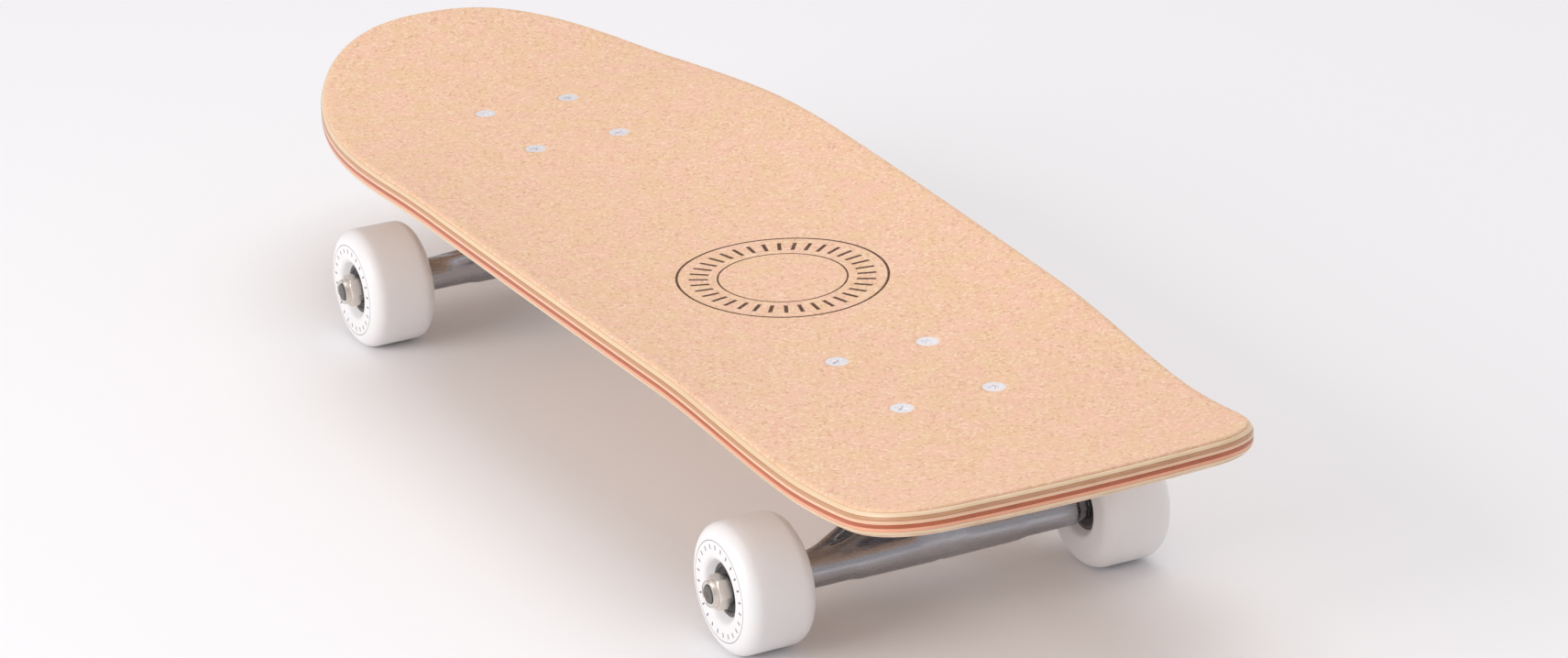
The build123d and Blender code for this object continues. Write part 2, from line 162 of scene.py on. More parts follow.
def add_piece(name: str, points: Array, faces: list[Array], crease: float = 32.0) -> bpy.types.Object:
    """Makes a mesh object from numpy arrays, its faces turned outwards.

    The volume under the faces is the sum of each triangle's triple product over six, so a
    negative sum means that the faces are inside out and each loop is reversed.

    Args:
        name: the object's name.
        points: vertex places, one row each.
        faces: arrays of vertex numbers, one for quads and one for triangles, say.
        crease: the angle in degrees above which an edge is drawn sharp.

    Returns:
        The object, linked to the scene.
    """
    volume = 0.0
    for block in faces:
        a = points[block[:, 0]]
        for k in range(1, block.shape[1] - 1):
            b, c = points[block[:, k]], points[block[:, k + 1]]
            volume += float(np.einsum("ij,ij->", a, np.cross(b, c)))
    if volume < 0:
        faces = [block[:, ::-1] for block in faces]
    mesh = bpy.data.meshes.new(name)
    loops = np.concatenate([block.ravel() for block in faces]).astype(np.int32)
    sizes = np.concatenate([np.full(len(block), block.shape[1]) for block in faces])
    starts = np.concatenate([[0], np.cumsum(sizes)[:-1]]).astype(np.int32)
    mesh.vertices.add(len(points))
    mesh.vertices.foreach_set("co", points.astype(np.float32).ravel())
    mesh.loops.add(len(loops))
    mesh.loops.foreach_set("vertex_index", loops)
    mesh.polygons.add(len(sizes))
    mesh.polygons.foreach_set("loop_start", starts)
    mesh.update(calc_edges=True)
    mesh.validate()
    mesh.polygons.foreach_set("use_smooth", np.ones(len(mesh.polygons), bool))
    mesh.set_sharp_from_angle(angle=radians(crease))
    piece = bpy.data.objects.new(name, mesh)
    bpy.context.scene.collection.objects.link(piece)
    return piece


def grid_quads(rows: int, columns: int, wrap_rows: bool) -> Array:
    """The quads of a grid that is closed along its columns.

    Args:
        rows: how many rings.
        columns: how many points in a ring.
        wrap_rows: whether the last ring joins the first.

    Returns:
        Vertex numbers, four to a row: each cell's corners, going round.
    """
    number = np.arange(rows * columns).reshape(rows, columns)
    if wrap_rows:
        number = np.concatenate([number, number[:1]])
    number = np.concatenate([number, number[:, :1]], axis=1)
    cell = (number[:-1, :-1], number[:-1, 1:], number[1:, 1:], number[1:, :-1])
    return np.stack(cell, axis=-1).reshape(-1, 4)


def closed_grid(name: str, rings: Array, ends: tuple[Array, Array] | None, crease: float = 32.0
                ) -> bpy.types.Object:
    """A closed piece from rings of points.

    Args:
        name: the object's name.
        rings: points, as ring by place round it by x, y, z.
        ends: the two centre points that close the first and last ring, or None for a closed loop
            of rings.
        crease: the angle in degrees above which an edge is drawn sharp.

    Returns:
        The object.
    """
    rows, columns = rings.shape[:2]
    points = rings.reshape(-1, 3)
    faces = [grid_quads(rows, columns, ends is None)]
    if ends is not None:
        points = np.concatenate([points, np.stack(ends)])
        here = np.arange(columns)
        after = (here + 1) % columns
        first = np.stack([after, here, np.full(columns, rows * columns)], axis=1)
        last_row = (rows - 1) * columns
        last = np.stack([last_row + here, last_row + after, np.full(columns, rows * columns + 1)], axis=1)
        faces.append(np.concatenate([first, last]))
    return add_piece(name, points, faces, crease)


def join(name: str, parts: list[bpy.types.Object]) -> bpy.types.Object:
    """Several meshes as one object, in the order given.

    Args:
        name: the new object's name.
        parts: the objects, which are used up.

    Returns:
        The joined object.
    """
    shape = bmesh.new()
    for part in parts:
        shape.from_mesh(part.data)
    mesh = bpy.data.meshes.new(name)
    shape.to_mesh(mesh)
    shape.free()
    for part in parts:
        bpy.data.meshes.remove(part.data)
    piece = bpy.data.objects.new(name, mesh)
    bpy.context.scene.collection.objects.link(piece)
    return piece


def rounded(points: list[tuple[float, float, float]], steps: int = 5) -> Array:
    """A polygon with its corners rounded.

    Each corner is replaced by points on the parabola between the two places that lie its radius
    away along its sides, which is near enough to an arc.

    Args:
        points: the corners as (radius from the axis, height, rounding).
        steps: how many points a rounded corner gets.

    Returns:
        Points as (radius from the axis, height).
    """
    made = []
    count = len(points)
    t = np.linspace(0, 1, steps)[:, None]
    for i, (r, h, size) in enumerate(points):
        here = np.array([r, h])
        if size <= 0:
            made.append(here[None])
            continue
        before = np.array(points[i - 1][:2])
        after = np.array(points[(i + 1) % count][:2])
        a = here + unit(before - here) * min(size, np.linalg.norm(before - here) * 0.49)
        b = here + unit(after - here) * min(size, np.linalg.norm(after - here) * 0.49)
        made.append((1 - t) ** 2 * a + 2 * t * (1 - t) * here + t ** 2 * b)
    return np.concatenate(made)


def lathe(name: str, profile: Array, place: Place, segments: int = 72, crease: float = 32.0
          ) -> bpy.types.Object:
    """A turned piece: each profile point goes round the third axis as (r cos a, r sin a, h).

    Args:
        name: the object's name.
        profile: (radius, height) points. One whose first and last radius is zero is closed by
            its poles, and any other is a closed loop.
        place: where the piece goes.
        segments: how many steps round.
        crease: the angle in degrees above which an edge is drawn sharp.

    Returns:
        The object.
    """
    angle = np.linspace(0, tau, segments, endpoint=False)
    solid = profile[0, 0] == 0 and profile[-1, 0] == 0
    body = profile[1:-1] if solid else profile
    r, h = body[:, 0][:, None], body[:, 1][:, None]
    rings = np.stack([r * np.cos(angle), r * np.sin(angle), h + 0 * angle], axis=-1)
    ends = None
    if solid:
        ends = tuple(place.points(np.array([0.0, 0.0, profile[k, 1]])) for k in (0, -1))
    return closed_grid(name, place.points(rings), ends, crease)


def hexagon_radius(angle: Array, flats: float) -> Array:
    """The distance from a hexagon's centre to its side, half its width over the cosine from the nearest flat.

    Args:
        angle: directions from the centre, in radians.
        flats: its width across flats.

    Returns:
        The distances.
    """
    return flats / 2 / np.cos((angle % (pi / 3)) - pi / 6)


def hex_nut(name: str, flats: float, height: float, bore: float, place: Place,
            collar: tuple[float, float] = (0.0, 0.0)) -> bpy.types.Object:
    """A hexagonal nut standing on its place, with a chamfer cone at both ends.

    Each ring's radius is the smaller of the hexagon's radius at that angle and the ring's own
    limit, so the cone cuts the flats in the usual curves.

    Args:
        name: the object's name.
        flats: its width across flats.
        height: its height, the collar left out.
        bore: its hole's radius.
        place: where it goes.
        collar: the radius and height of a round collar on top, if it has one.

    Returns:
        The object.
    """
    angle = np.linspace(0, tau, 96, endpoint=False)
    inner = flats / 2 * 0.955
    corner = flats / 2 / cos(pi / 6)
    bevel = (corner - inner) * 0.55
    steps = np.linspace(0, 1, 5)
    low = [(bevel * t, inner + (corner - inner) * t) for t in steps]
    high = [(height - bevel * t, inner + (corner - inner) * t) for t in steps[::-1]]
    limits = [(0.0, bore)] + low + high
    top = height
    if collar[1] > 0:
        collar_r, collar_h = collar
        top = height + collar_h
        ease = collar_h * 0.3
        limits += [(height, collar_r), (top - ease, collar_r), (top - ease * 0.3, collar_r - ease * 0.3),
                   (top, collar_r - ease)]
    lip = flats * 0.02
    limits += [(top, bore + lip), (top - lip, bore)]
    z = np.array([k[0] for k in limits])[:, None]
    limit = np.array([k[1] for k in limits])[:, None]
    r = np.minimum(hexagon_radius(angle, flats), limit)
    rings = np.stack([r * np.cos(angle), r * np.sin(angle), z + 0 * angle], axis=-1)
    return closed_grid(name, place.points(rings), None, 25.0)


# ---------------------------------------------------------------- castings as implicit surfaces

def smooth_union(a: Array, b: Array, blend: float) -> Array:
    """Two distance fields joined: the smaller, less a parabola where they are within the blend of each other.

    Args:
        a: one field.
        b: the other field.
        blend: the fillet's width.

    Returns:
        The joined field.
    """
    share = np.clip(blend - np.abs(a - b), 0, None) / blend
    return np.minimum(a, b) - share * share * blend / 4


def smooth_cut(a: Array, b: Array, blend: float) -> Array:
    """The first field with the second taken out of it, the edge eased by the blend.

    Args:
        a: the field that is cut.
        b: the field that is taken out.
        blend: the fillet's width.

    Returns:
        The cut field.
    """
    return -smooth_union(-a, b, blend)


def rod(p: Array, start: Array, end: Array, r: float, ease: float) -> Array:
    """Distance to a cylinder with flat ends: the larger of the radial and the axial distance, rounded.

    Args:
        p: points, their axes last.
        start: one end's centre.
        end: the other end's centre.
        r: its radius.
        ease: the radius of its rounded edges.

    Returns:
        The distances.
    """
    axis = unit(end - start)
    along = (p - (start + end) / 2) @ axis
    away = np.linalg.norm(p - (start + end) / 2 - along[..., None] * axis, axis=-1)
    q = np.stack([away - r + ease, np.abs(along) - np.linalg.norm(end - start) / 2 + ease], axis=-1)
    return np.linalg.norm(np.maximum(q, 0), axis=-1) + np.minimum(q.max(axis=-1), 0) - ease


def horn(p: Array, start: Array, end: Array, start_r: float, end_r: float) -> Array:
    """Distance to a round-ended cone: to the segment, less a radius that changes along it.

    Args:
        p: points, their axes last.
        start: one end's centre.
        end: the other end's centre.
        start_r: the radius at the start.
        end_r: the radius at the end.

    Returns:
        The distances.
    """
    span = end - start
    share = np.clip(((p - start) @ span) / (span @ span), 0, 1)
    radius = start_r + (end_r - start_r) * share
    return np.linalg.norm(p - start - share[..., None] * span, axis=-1) - radius


def block(p: Array, centre: Array, half: Array, ease: float) -> Array:
    """Distance to a box with rounded edges.

    Args:
        p: points, their axes last.
        centre: its centre.
        half: half its size on each axis.
        ease: the radius of its edges.

    Returns:
        The distances.
    """
    q = np.abs(p - centre) - half + ease
    return np.linalg.norm(np.maximum(q, 0), axis=-1) + np.minimum(q.max(axis=-1), 0) - ease


def triangle(p: Array, a: Array, b: Array, c: Array) -> Array:
    """Distance to a triangle in space: to its plane over its inside, and to its nearest side elsewhere.

    Args:
        p: points, their axes last.
        a: one corner.
        b: the next corner.
        c: the last corner.

    Returns:
        The distances.
    """
    normal = unit(np.cross(b - a, a - c))
    inside = np.ones(p.shape[:-1], bool)
    nearest = np.full(p.shape[:-1], np.inf)
    for start, end in ((a, b), (b, c), (c, a)):
        side = end - start
        from_start = p - start
        inside &= from_start @ np.cross(side, normal) > 0
        share = np.clip(from_start @ side / (side @ side), 0, 1)
        nearest = np.minimum(nearest, np.linalg.norm(from_start - share[..., None] * side, axis=-1))
    return np.where(inside, np.abs((p - a) @ normal), nearest)


def plate(across: Array, up: Array, depth: Array, outline: list[tuple[float, float]], half: float, ease: float
          ) -> Array:
    """Distance to a flat plate cut to a convex outline: the largest distance past any of its sides or
    its two faces, rounded where those meet.

    Args:
        across: the points' first coordinate in the plate's plane.
        up: their second coordinate.
        depth: their distance from the plate's middle.
        outline: the convex outline, going round anticlockwise.
        half: half the plate's thickness.
        ease: the rounding of its edges.

    Returns:
        The distances.
    """
    away = np.full(across.shape, -1.0)
    for (x0, y0), (x1, y1) in zip(outline, outline[1:] + outline[:1]):
        length = np.hypot(x1 - x0, y1 - y0)
        away = np.maximum(away, ((across - x0) * (y1 - y0) - (up - y0) * (x1 - x0)) / length)
    q = np.stack([away + ease, np.abs(depth) - half + ease], axis=-1)
    return np.linalg.norm(np.maximum(q, 0), axis=-1) + np.minimum(q.max(axis=-1), 0) - ease


def surface_net(field_at: Callable[[Array], Array], low: Array, high: Array, step: float
                ) -> tuple[Array, Array]:
    """The zero surface of a distance field, as a net of quads.

    Each grid cell that the surface passes through gets one point, the mean of the places where the
    surface crosses the cell's edges. Each grid edge that crosses the surface gets a quad between its
    four cells. Three Newton steps along the field's gradient then put the points on the surface.

    Args:
        field_at: the distance at an array of points.
        low: the grid's lowest corner.
        high: the grid's highest corner.
        step: the grid's spacing.

    Returns:
        The points and the quads.
    """
    axes = [np.arange(low[k], high[k] + step, step) for k in range(3)]
    grid = np.stack(np.meshgrid(*axes, indexing="ij"), axis=-1)
    value = field_at(grid)
    shape = np.array(value.shape) - 1
    total = np.zeros((*shape, 3))
    count = np.zeros(shape)
    for k in range(3):
        others = [m for m in range(3) if m != k]
        for i in (0, 1):
            for j in (0, 1):
                start = [slice(0, n) for n in shape]
                start[others[0]] = slice(i, i + shape[others[0]])
                start[others[1]] = slice(j, j + shape[others[1]])
                end = list(start)
                end[k] = slice(1, 1 + shape[k])
                a, b = value[tuple(start)], value[tuple(end)]
                crossing = (a < 0) != (b < 0)
                share = np.where(crossing, a / np.where(a == b, 1, a - b), 0)
                place = grid[tuple(start)].copy()
                place[..., k] += share * step
                total += place * crossing[..., None]
                count += crossing
    used = count > 0
    number = np.full(tuple(shape), -1)
    number[used] = np.arange(int(used.sum()))
    points = total[used] / count[used][:, None]
    quads = []
    for k in range(3):
        u, v = (k + 1) % 3, (k + 2) % 3
        inner = [slice(1, n) for n in shape]
        inner[k] = slice(0, shape[k])
        ahead = list(inner)
        ahead[k] = slice(1, 1 + shape[k])
        a, b = value[tuple(inner)], value[tuple(ahead)]
        at = np.argwhere((a < 0) != (b < 0))
        flip = (a < 0)[tuple(at.T)]
        cell = at + np.array([0 if m == k else 1 for m in range(3)])
        back_u = np.eye(3, dtype=int)[u]
        back_v = np.eye(3, dtype=int)[v]
        ring = [cell - back_u - back_v, cell - back_v, cell, cell - back_u]
        four = np.stack([number[tuple(c.T)] for c in ring], axis=1)
        four[~flip] = four[~flip][:, ::-1]
        quads.append(four)
    nudge = step * 0.05
    for _ in range(3):
        here = field_at(points)
        slope = np.stack([field_at(points + nudge * e) - field_at(points - nudge * e) for e in np.eye(3)],
                         axis=1)
        slope /= 2 * nudge
        steep = np.maximum((slope ** 2).sum(axis=1), 0.3)
        points = points - np.clip(here / steep, -step, step)[:, None] * slope
    return points, np.concatenate(quads)


def helix(r: float, low: float, high: float, pitch: float, depth: float, segments: int) -> Array:
    """The rings of a screw thread about the third axis.

    The radius at height z and angle a is r less the depth times a triangle wave of z over the pitch
    minus a over a full turn, so the crest climbs one pitch in each turn. It fades out at both ends.

    Args:
        r: the crest's radius.
        low: where the thread starts.
        high: where it ends.
        pitch: its pitch.
        depth: its depth.
        segments: how many steps round.

    Returns:
        Points, as ring by angle by x, y, z.
    """
    angle = np.linspace(0, tau, segments, endpoint=False)[None]
    z = np.arange(low, high, pitch / 6)[:, None]
    wave = np.abs(((z / pitch - angle / tau) % 1) * 2 - 1)
    fade = np.clip(np.minimum(z - low, high - z) / pitch, 0, 1)
    radius = r - depth * (1 - fade) - depth * wave * fade
    return np.stack([radius * np.cos(angle), radius * np.sin(angle), z + 0 * angle], axis=-1)


def threaded_rod(name: str, r: float, length: float, thread: float, place: Place, dimple: float = 0.0
                 ) -> bpy.types.Object:
    """A rod that stands on its place, with a screw thread at its far end.

    Args:
        name: the object's name.
        r: the rod's radius.
        length: its length.
        thread: how much of the far end is threaded.
        place: where it goes.
        dimple: the radius of a centre-drill mark in the far end, if it has one.

    Returns:
        The object.
    """
    pitch = r * 0.26
    rings = helix(r, length - thread, length - pitch * 0.4, pitch, r * 0.1, 48)
    angle = np.linspace(0, tau, 48, endpoint=False)
    foot = [(r, 0.0), (r, length - thread - pitch * 0.2), (r * 0.93, length - thread)]
    tip = [(r * 0.9, length - pitch * 0.2), (r * 0.8, length)]
    if dimple > 0:
        tip += [(dimple, length), (dimple * 0.5, length - dimple * 0.7)]
    turned = [np.stack([radius * np.cos(angle), radius * np.sin(angle), height + 0 * angle], axis=-1)[None]
              for radius, height in foot + tip]
    rings = np.concatenate(turned[:3] + [rings] + turned[3:])
    top = tip[-1][1]
    ends = (place.points(np.array([0, 0, 0.0])), place.points(np.array([0, 0, top])))
    return closed_grid(name, place.points(rings), ends, 40.0)


# ---------------------------------------------------------------- finishes

def linear(colour: Colour) -> tuple[float, float, float, float]:
    """An sRGB colour as linear light: the low end divided by 12.92, the rest raised to 2.4.

    Args:
        colour: red, green and blue from 0 to 1.

    Returns:
        The same with an alpha of 1.
    """
    return tuple(c / 12.92 if c <= 0.04045 else ((c + 0.055) / 1.055) ** 2.4 for c in colour) + (1.0,)


class Shader:
    """A material's nodes, added one at a time, ending in one Principled shader."""

    def __init__(self, name: str) -> None:
        """Starts a material.

        Args:
            name: the material's name.
        """
        self.material = bpy.data.materials.new(name)
        self.material.use_nodes = True
        self.tree = self.material.node_tree
        self.surface = self.tree.nodes["Principled BSDF"]
        self.where = self.node("ShaderNodeTexCoord").outputs["Object"]

    def node(self, kind: str, **settings: object) -> bpy.types.Node:
        """Adds a node.

        Args:
            kind: its type's name.
            **settings: its attributes.

        Returns:
            The node.
        """
        made = self.tree.nodes.new(kind)
        for key, value in settings.items():
            setattr(made, key, value)
        return made

    def feed(self, socket: bpy.types.NodeSocket, value: object) -> None:
        """Sets a socket to a constant, or links it to another socket.

        Args:
            socket: the input.
            value: a number, a colour or an output socket.
        """
        if isinstance(value, bpy.types.NodeSocket):
            self.tree.links.new(value, socket)
        else:
            socket.default_value = value

    def maths(self, operation: str, *values: object) -> bpy.types.NodeSocket:
        """A Math node's result.

        Args:
            operation: the node's operation.
            *values: its inputs, in order.

        Returns:
            The output socket.
        """
        made = self.node("ShaderNodeMath", operation=operation)
        for socket, value in zip(made.inputs, values):
            self.feed(socket, value)
        return made.outputs[0]

    def stretched(self, scale: tuple[float, float, float], shift: Colour = (0.0, 0.0, 0.0)
                  ) -> bpy.types.NodeSocket:
        """Object coordinates, scaled along each axis.

        Args:
            scale: the three factors.
            shift: added afterwards.

        Returns:
            The output socket.
        """
        made = self.node("ShaderNodeVectorMath", operation="MULTIPLY_ADD")
        self.feed(made.inputs[0], self.where)
        made.inputs[1].default_value = scale
        made.inputs[2].default_value = shift
        return made.outputs[0]

    def noise(self, at: bpy.types.NodeSocket, scale: float, detail: float = 2.0, rough: float = 0.5
              ) -> bpy.types.NodeSocket:
        """A noise between 0 and 1.

        Args:
            at: the coordinates.
            scale: cycles to the metre.
            detail: the number of octaves.
            rough: how strong the finer octaves are.

        Returns:
            The output socket.
        """
        made = self.node("ShaderNodeTexNoise")
        self.feed(made.inputs["Vector"], at)
        made.inputs["Scale"].default_value = scale
        made.inputs["Detail"].default_value = detail
        made.inputs["Roughness"].default_value = rough
        return made.outputs["Fac"]

    def band(self, value: object, low: float, high: float, start: float = 0.0, end: float = 1.0
             ) -> bpy.types.NodeSocket:
        """A value mapped from low to high onto start to end, and held there outside.

        Args:
            value: the input.
            low: the input's lower limit.
            high: the input's upper limit.
            start: the result at the lower limit.
            end: the result at the upper limit.

        Returns:
            The output socket.
        """
        made = self.node("ShaderNodeMapRange")
        for key, item in (("Value", value), ("From Min", low), ("From Max", high), ("To Min", start),
                          ("To Max", end)):
            self.feed(made.inputs[key], item)
        return made.outputs["Result"]

    def blend(self, share: object, first: object, second: object) -> bpy.types.NodeSocket:
        """Two colours mixed.

        Args:
            share: how much of the second one.
            first: a colour or socket.
            second: a colour or socket.

        Returns:
            The output socket.
        """
        made = self.node("ShaderNodeMix", data_type="RGBA")
        colours = [s for s in made.inputs if s.type == "RGBA"]
        self.feed(made.inputs[0], share)
        self.feed(colours[0], first)
        self.feed(colours[1], second)
        return [s for s in made.outputs if s.type == "RGBA"][0]

    def relief(self, height: bpy.types.NodeSocket, depth: float, strength: float = 1.0) -> None:
        """Puts a fine relief on the surface.

        Args:
            height: the relief between 0 and 1.
            depth: how deep it is, in metres.
            strength: how much of it shows.
        """
        made = self.node("ShaderNodeBump")
        self.feed(made.inputs["Height"], height)
        made.inputs["Distance"].default_value = depth
        made.inputs["Strength"].default_value = strength
        self.feed(self.surface.inputs["Normal"], made.outputs["Normal"])

    def set(self, **values: object) -> None:
        """Sets the shader's inputs by name, with underscores for spaces.

        Args:
            **values: constants or sockets.
        """
        for key, value in values.items():
            self.feed(self.surface.inputs[key.replace("_", " ")], value)

    def ring_mark(self, u: bpy.types.NodeSocket, v: bpy.types.NodeSocket, lines: list[tuple[float, float]],
                  ticks: tuple[int, float, float, float]) -> bpy.types.NodeSocket:
        """A plain dial: circles, and short strokes between two of them. It is 1 on the ink.

        Args:
            u: the distance from the dial's centre along one direction.
            v: the distance along the other.
            lines: each circle's radius and half its line's width.
            ticks: how many strokes, their inner and outer radius, and half their width.

        Returns:
            The output socket.
        """
        square = self.maths("ADD", self.maths("MULTIPLY", u, u), self.maths("MULTIPLY", v, v))
        radius = self.maths("SQRT", square)
        ink = None
        for at, half in lines:
            away = self.maths("ABSOLUTE", self.maths("SUBTRACT", radius, at))
            line = self.band(away, half * 1.15, half * 0.85)
            ink = line if ink is None else self.maths("MAXIMUM", ink, line)
        count, inner, outer, half = ticks
        turn = self.maths("MULTIPLY", self.maths("ARCTAN2", v, u), count / tau)
        part = self.maths("SUBTRACT", self.maths("FRACT", self.maths("ADD", turn, 100.0)), 0.5)
        pitch = self.maths("MULTIPLY", radius, tau / count)
        across = self.maths("MULTIPLY", self.maths("ABSOLUTE", part), pitch)
        stroke = self.band(across, half * 1.15, half * 0.85)
        middle, reach = (inner + outer) / 2, (outer - inner) / 2
        along = self.maths("ABSOLUTE", self.maths("SUBTRACT", radius, middle))
        stroke = self.maths("MULTIPLY", stroke, self.band(along, reach + half * 0.3, reach - half * 0.3))
        return self.maths("MAXIMUM", ink, stroke)


@dataclass(frozen=True)
class CorkGrip:
    """A sheet of ground cork and clear grit, with a plain dial stamped on it in brown."""

    rose: Colour = (0.955, 0.775, 0.675)
    straw: Colour = (0.940, 0.790, 0.640)
    dark: Colour = (0.850, 0.665, 0.545)
    pale: Colour = (0.985, 0.860, 0.755)
    ink: Colour = (0.290, 0.170, 0.120)
    mark: tuple[float, float] = (0.0, 0.0)

    def build(self, name: str) -> bpy.types.Material:
        """Makes the material.

        Args:
            name: its name.

        Returns:
            The material.
        """
        s = Shader(name)
        patch = s.band(s.noise(s.where, 90.0, 3.0, 0.6), 0.36, 0.64)
        base = s.blend(patch, linear(self.rose), linear(self.straw))
        crumbs = s.node("ShaderNodeTexVoronoi")
        s.feed(crumbs.inputs["Vector"], s.where)
        crumbs.inputs["Scale"].default_value = 860.0
        tone = s.node("ShaderNodeSeparateColor")
        s.feed(tone.inputs[0], crumbs.outputs["Color"])
        drift = s.band(s.noise(s.where, 260.0, 2.0), 0.35, 0.65)
        dark = s.maths("MULTIPLY", s.band(tone.outputs[0], 0.66, 0.92), s.band(drift, 0.1, 0.9, 0.25, 0.7))
        pale = s.maths("MULTIPLY", s.band(tone.outputs[1], 0.70, 0.95), 0.75)
        base = s.blend(dark, base, linear(self.dark))
        base = s.blend(pale, base, linear(self.pale))
        place = s.node("ShaderNodeSeparateXYZ")
        s.feed(place.inputs[0], s.where)
        u = s.maths("SUBTRACT", place.outputs[0], self.mark[0])
        v = s.maths("SUBTRACT", place.outputs[1], self.mark[1])
        ink = s.ring_mark(u, v, [(44 * MM, 0.55 * MM), (27 * MM, 0.4 * MM)],
                          (36, 31 * MM, 39 * MM, 0.85 * MM))
        worn = s.band(s.noise(s.where, 1500.0, 1.0), 0.3, 0.5, 0.72, 0.96)
        base = s.blend(s.maths("MULTIPLY", ink, worn), base, linear(self.ink))
        s.set(Base_Color=base, Roughness=0.86, Specular_IOR_Level=0.28)
        grit = s.maths("ADD", s.noise(s.where, 1500.0, 3.0, 0.7), s.maths("MULTIPLY", tone.outputs[2], 0.4))
        s.relief(grit, 0.35 * MM, 0.55)
        return s.material


@dataclass(frozen=True)
class Veneer:
    """A maple veneer under a thin satin varnish, its grain along X."""

    colour: Colour
    grain: Colour
    figure: float = 0.5
    roughness: float = 0.42

    def build(self, name: str) -> bpy.types.Material:
        """Makes the material.

        Args:
            name: its name.

        Returns:
            The material.
        """
        s = Shader(name)
        sway = s.noise(s.stretched((2.0, 9.0, 9.0)), 1.0, 2.0)
        bent = s.node("ShaderNodeVectorMath", operation="MULTIPLY_ADD")
        s.feed(bent.inputs[0], s.where)
        bent.inputs[1].default_value = (3.2, 75.0, 260.0)
        mixed = s.node("ShaderNodeCombineXYZ")
        s.feed(mixed.inputs[1], s.maths("MULTIPLY", sway, 3.0))
        s.feed(bent.inputs[2], mixed.outputs[0])
        lines = s.noise(bent.outputs[0], 1.0, 4.0, 0.62)
        pores = s.noise(s.stretched((30.0, 900.0, 900.0)), 1.0, 2.0)
        share = s.maths("MULTIPLY", s.band(lines, 0.40, 0.68), self.figure)
        share = s.maths("ADD", share, s.maths("MULTIPLY", s.band(pores, 0.56, 0.72), self.figure * 0.4))
        s.set(Base_Color=s.blend(share, linear(self.colour), linear(self.grain)), Roughness=self.roughness,
              Coat_Weight=0.35, Coat_Roughness=0.22)
        s.relief(pores, 0.08 * MM, 0.25)
        return s.material


@dataclass(frozen=True)
class Metal:
    """A bare or plated metal, with fine marks left by how it was made."""

    colour: Colour
    roughness: float
    grain: tuple[float, float, float] = (400.0, 400.0, 400.0)
    uneven: float = 0.12
    relief: float = 0.02

    def build(self, name: str) -> bpy.types.Material:
        """Makes the material.

        Args:
            name: its name.

        Returns:
            The material.
        """
        s = Shader(name)
        marks = s.noise(s.stretched(self.grain), 1.0, 4.0, 0.6)
        cloud = s.noise(s.where, 45.0, 2.0)
        rough = s.band(marks, *NOISE_RANGE, self.roughness - self.uneven * 0.5, self.roughness + self.uneven)
        tone = s.band(cloud, *NOISE_RANGE, 0.0, 0.22)
        dull = tuple(c * 0.82 for c in self.colour)
        s.set(Base_Color=s.blend(tone, linear(self.colour), linear(dull)), Metallic=1.0, Roughness=rough)
        s.relief(marks, self.relief * MM, 0.6)
        return s.material


@dataclass(frozen=True)
class Polymer:
    """A moulded plastic or rubber."""

    colour: Colour
    roughness: float
    glow: float = 0.0
    grain: float = 700.0
    relief: float = 0.01

    def build(self, name: str) -> bpy.types.Material:
        """Makes the material.

        Args:
            name: its name.

        Returns:
            The material.
        """
        s = Shader(name)
        marks = s.noise(s.where, self.grain, 3.0, 0.6)
        rough = s.band(marks, *NOISE_RANGE, self.roughness - 0.04, self.roughness + 0.06)
        tone = s.band(s.noise(s.where, 30.0, 2.0), *NOISE_RANGE, 0.0, 0.10)
        shade = tuple(c * 0.93 for c in self.colour)
        s.set(Base_Color=s.blend(tone, linear(self.colour), linear(shade)), Roughness=rough)
        if self.glow > 0:
            s.set(Subsurface_Weight=self.glow, Subsurface_Scale=2.0 * MM)
            s.surface.inputs["Subsurface Radius"].default_value = (1.0, 0.8, 0.75)
        s.relief(marks, self.relief * MM, 0.5)
        return s.material


@dataclass(frozen=True)
class WheelUrethane:
    """Cast white urethane: a ground tread, smooth faces, and a plain ring of strokes printed on them."""

    centre: tuple[float, float]
    face: float
    colour: Colour = (0.955, 0.945, 0.945)
    ink: Colour = (0.33, 0.33, 0.35)

    def build(self, name: str) -> bpy.types.Material:
        """Makes the material.

        Args:
            name: its name.

        Returns:
            The material.
        """
        s = Shader(name)
        place = s.node("ShaderNodeSeparateXYZ")
        s.feed(place.inputs[0], s.where)
        u = s.maths("SUBTRACT", place.outputs[0], self.centre[0])
        v = s.maths("SUBTRACT", place.outputs[2], self.centre[1])
        print_ink = s.ring_mark(u, v, [(20.6 * MM, 0.16 * MM)], (24, 17.0 * MM, 19.0 * MM, 0.42 * MM))
        outside = s.maths("GREATER_THAN", s.maths("ABSOLUTE", place.outputs[1]), self.face)
        ink = s.maths("MULTIPLY", s.maths("MULTIPLY", print_ink, outside), 0.85)
        marks = s.noise(s.where, 900.0, 3.0, 0.6)
        s.set(Base_Color=s.blend(ink, linear(self.colour), linear(self.ink)),
              Roughness=s.band(marks, *NOISE_RANGE, 0.34, 0.46), Subsurface_Weight=0.12,
              Subsurface_Scale=2.5 * MM, Coat_Weight=0.1, Coat_Roughness=0.3)
        s.surface.inputs["Subsurface Radius"].default_value = (1.0, 0.85, 0.85)
        s.relief(marks, 0.012 * MM, 0.5)
        return s.material


Finish = CorkGrip | Veneer | Metal | Polymer


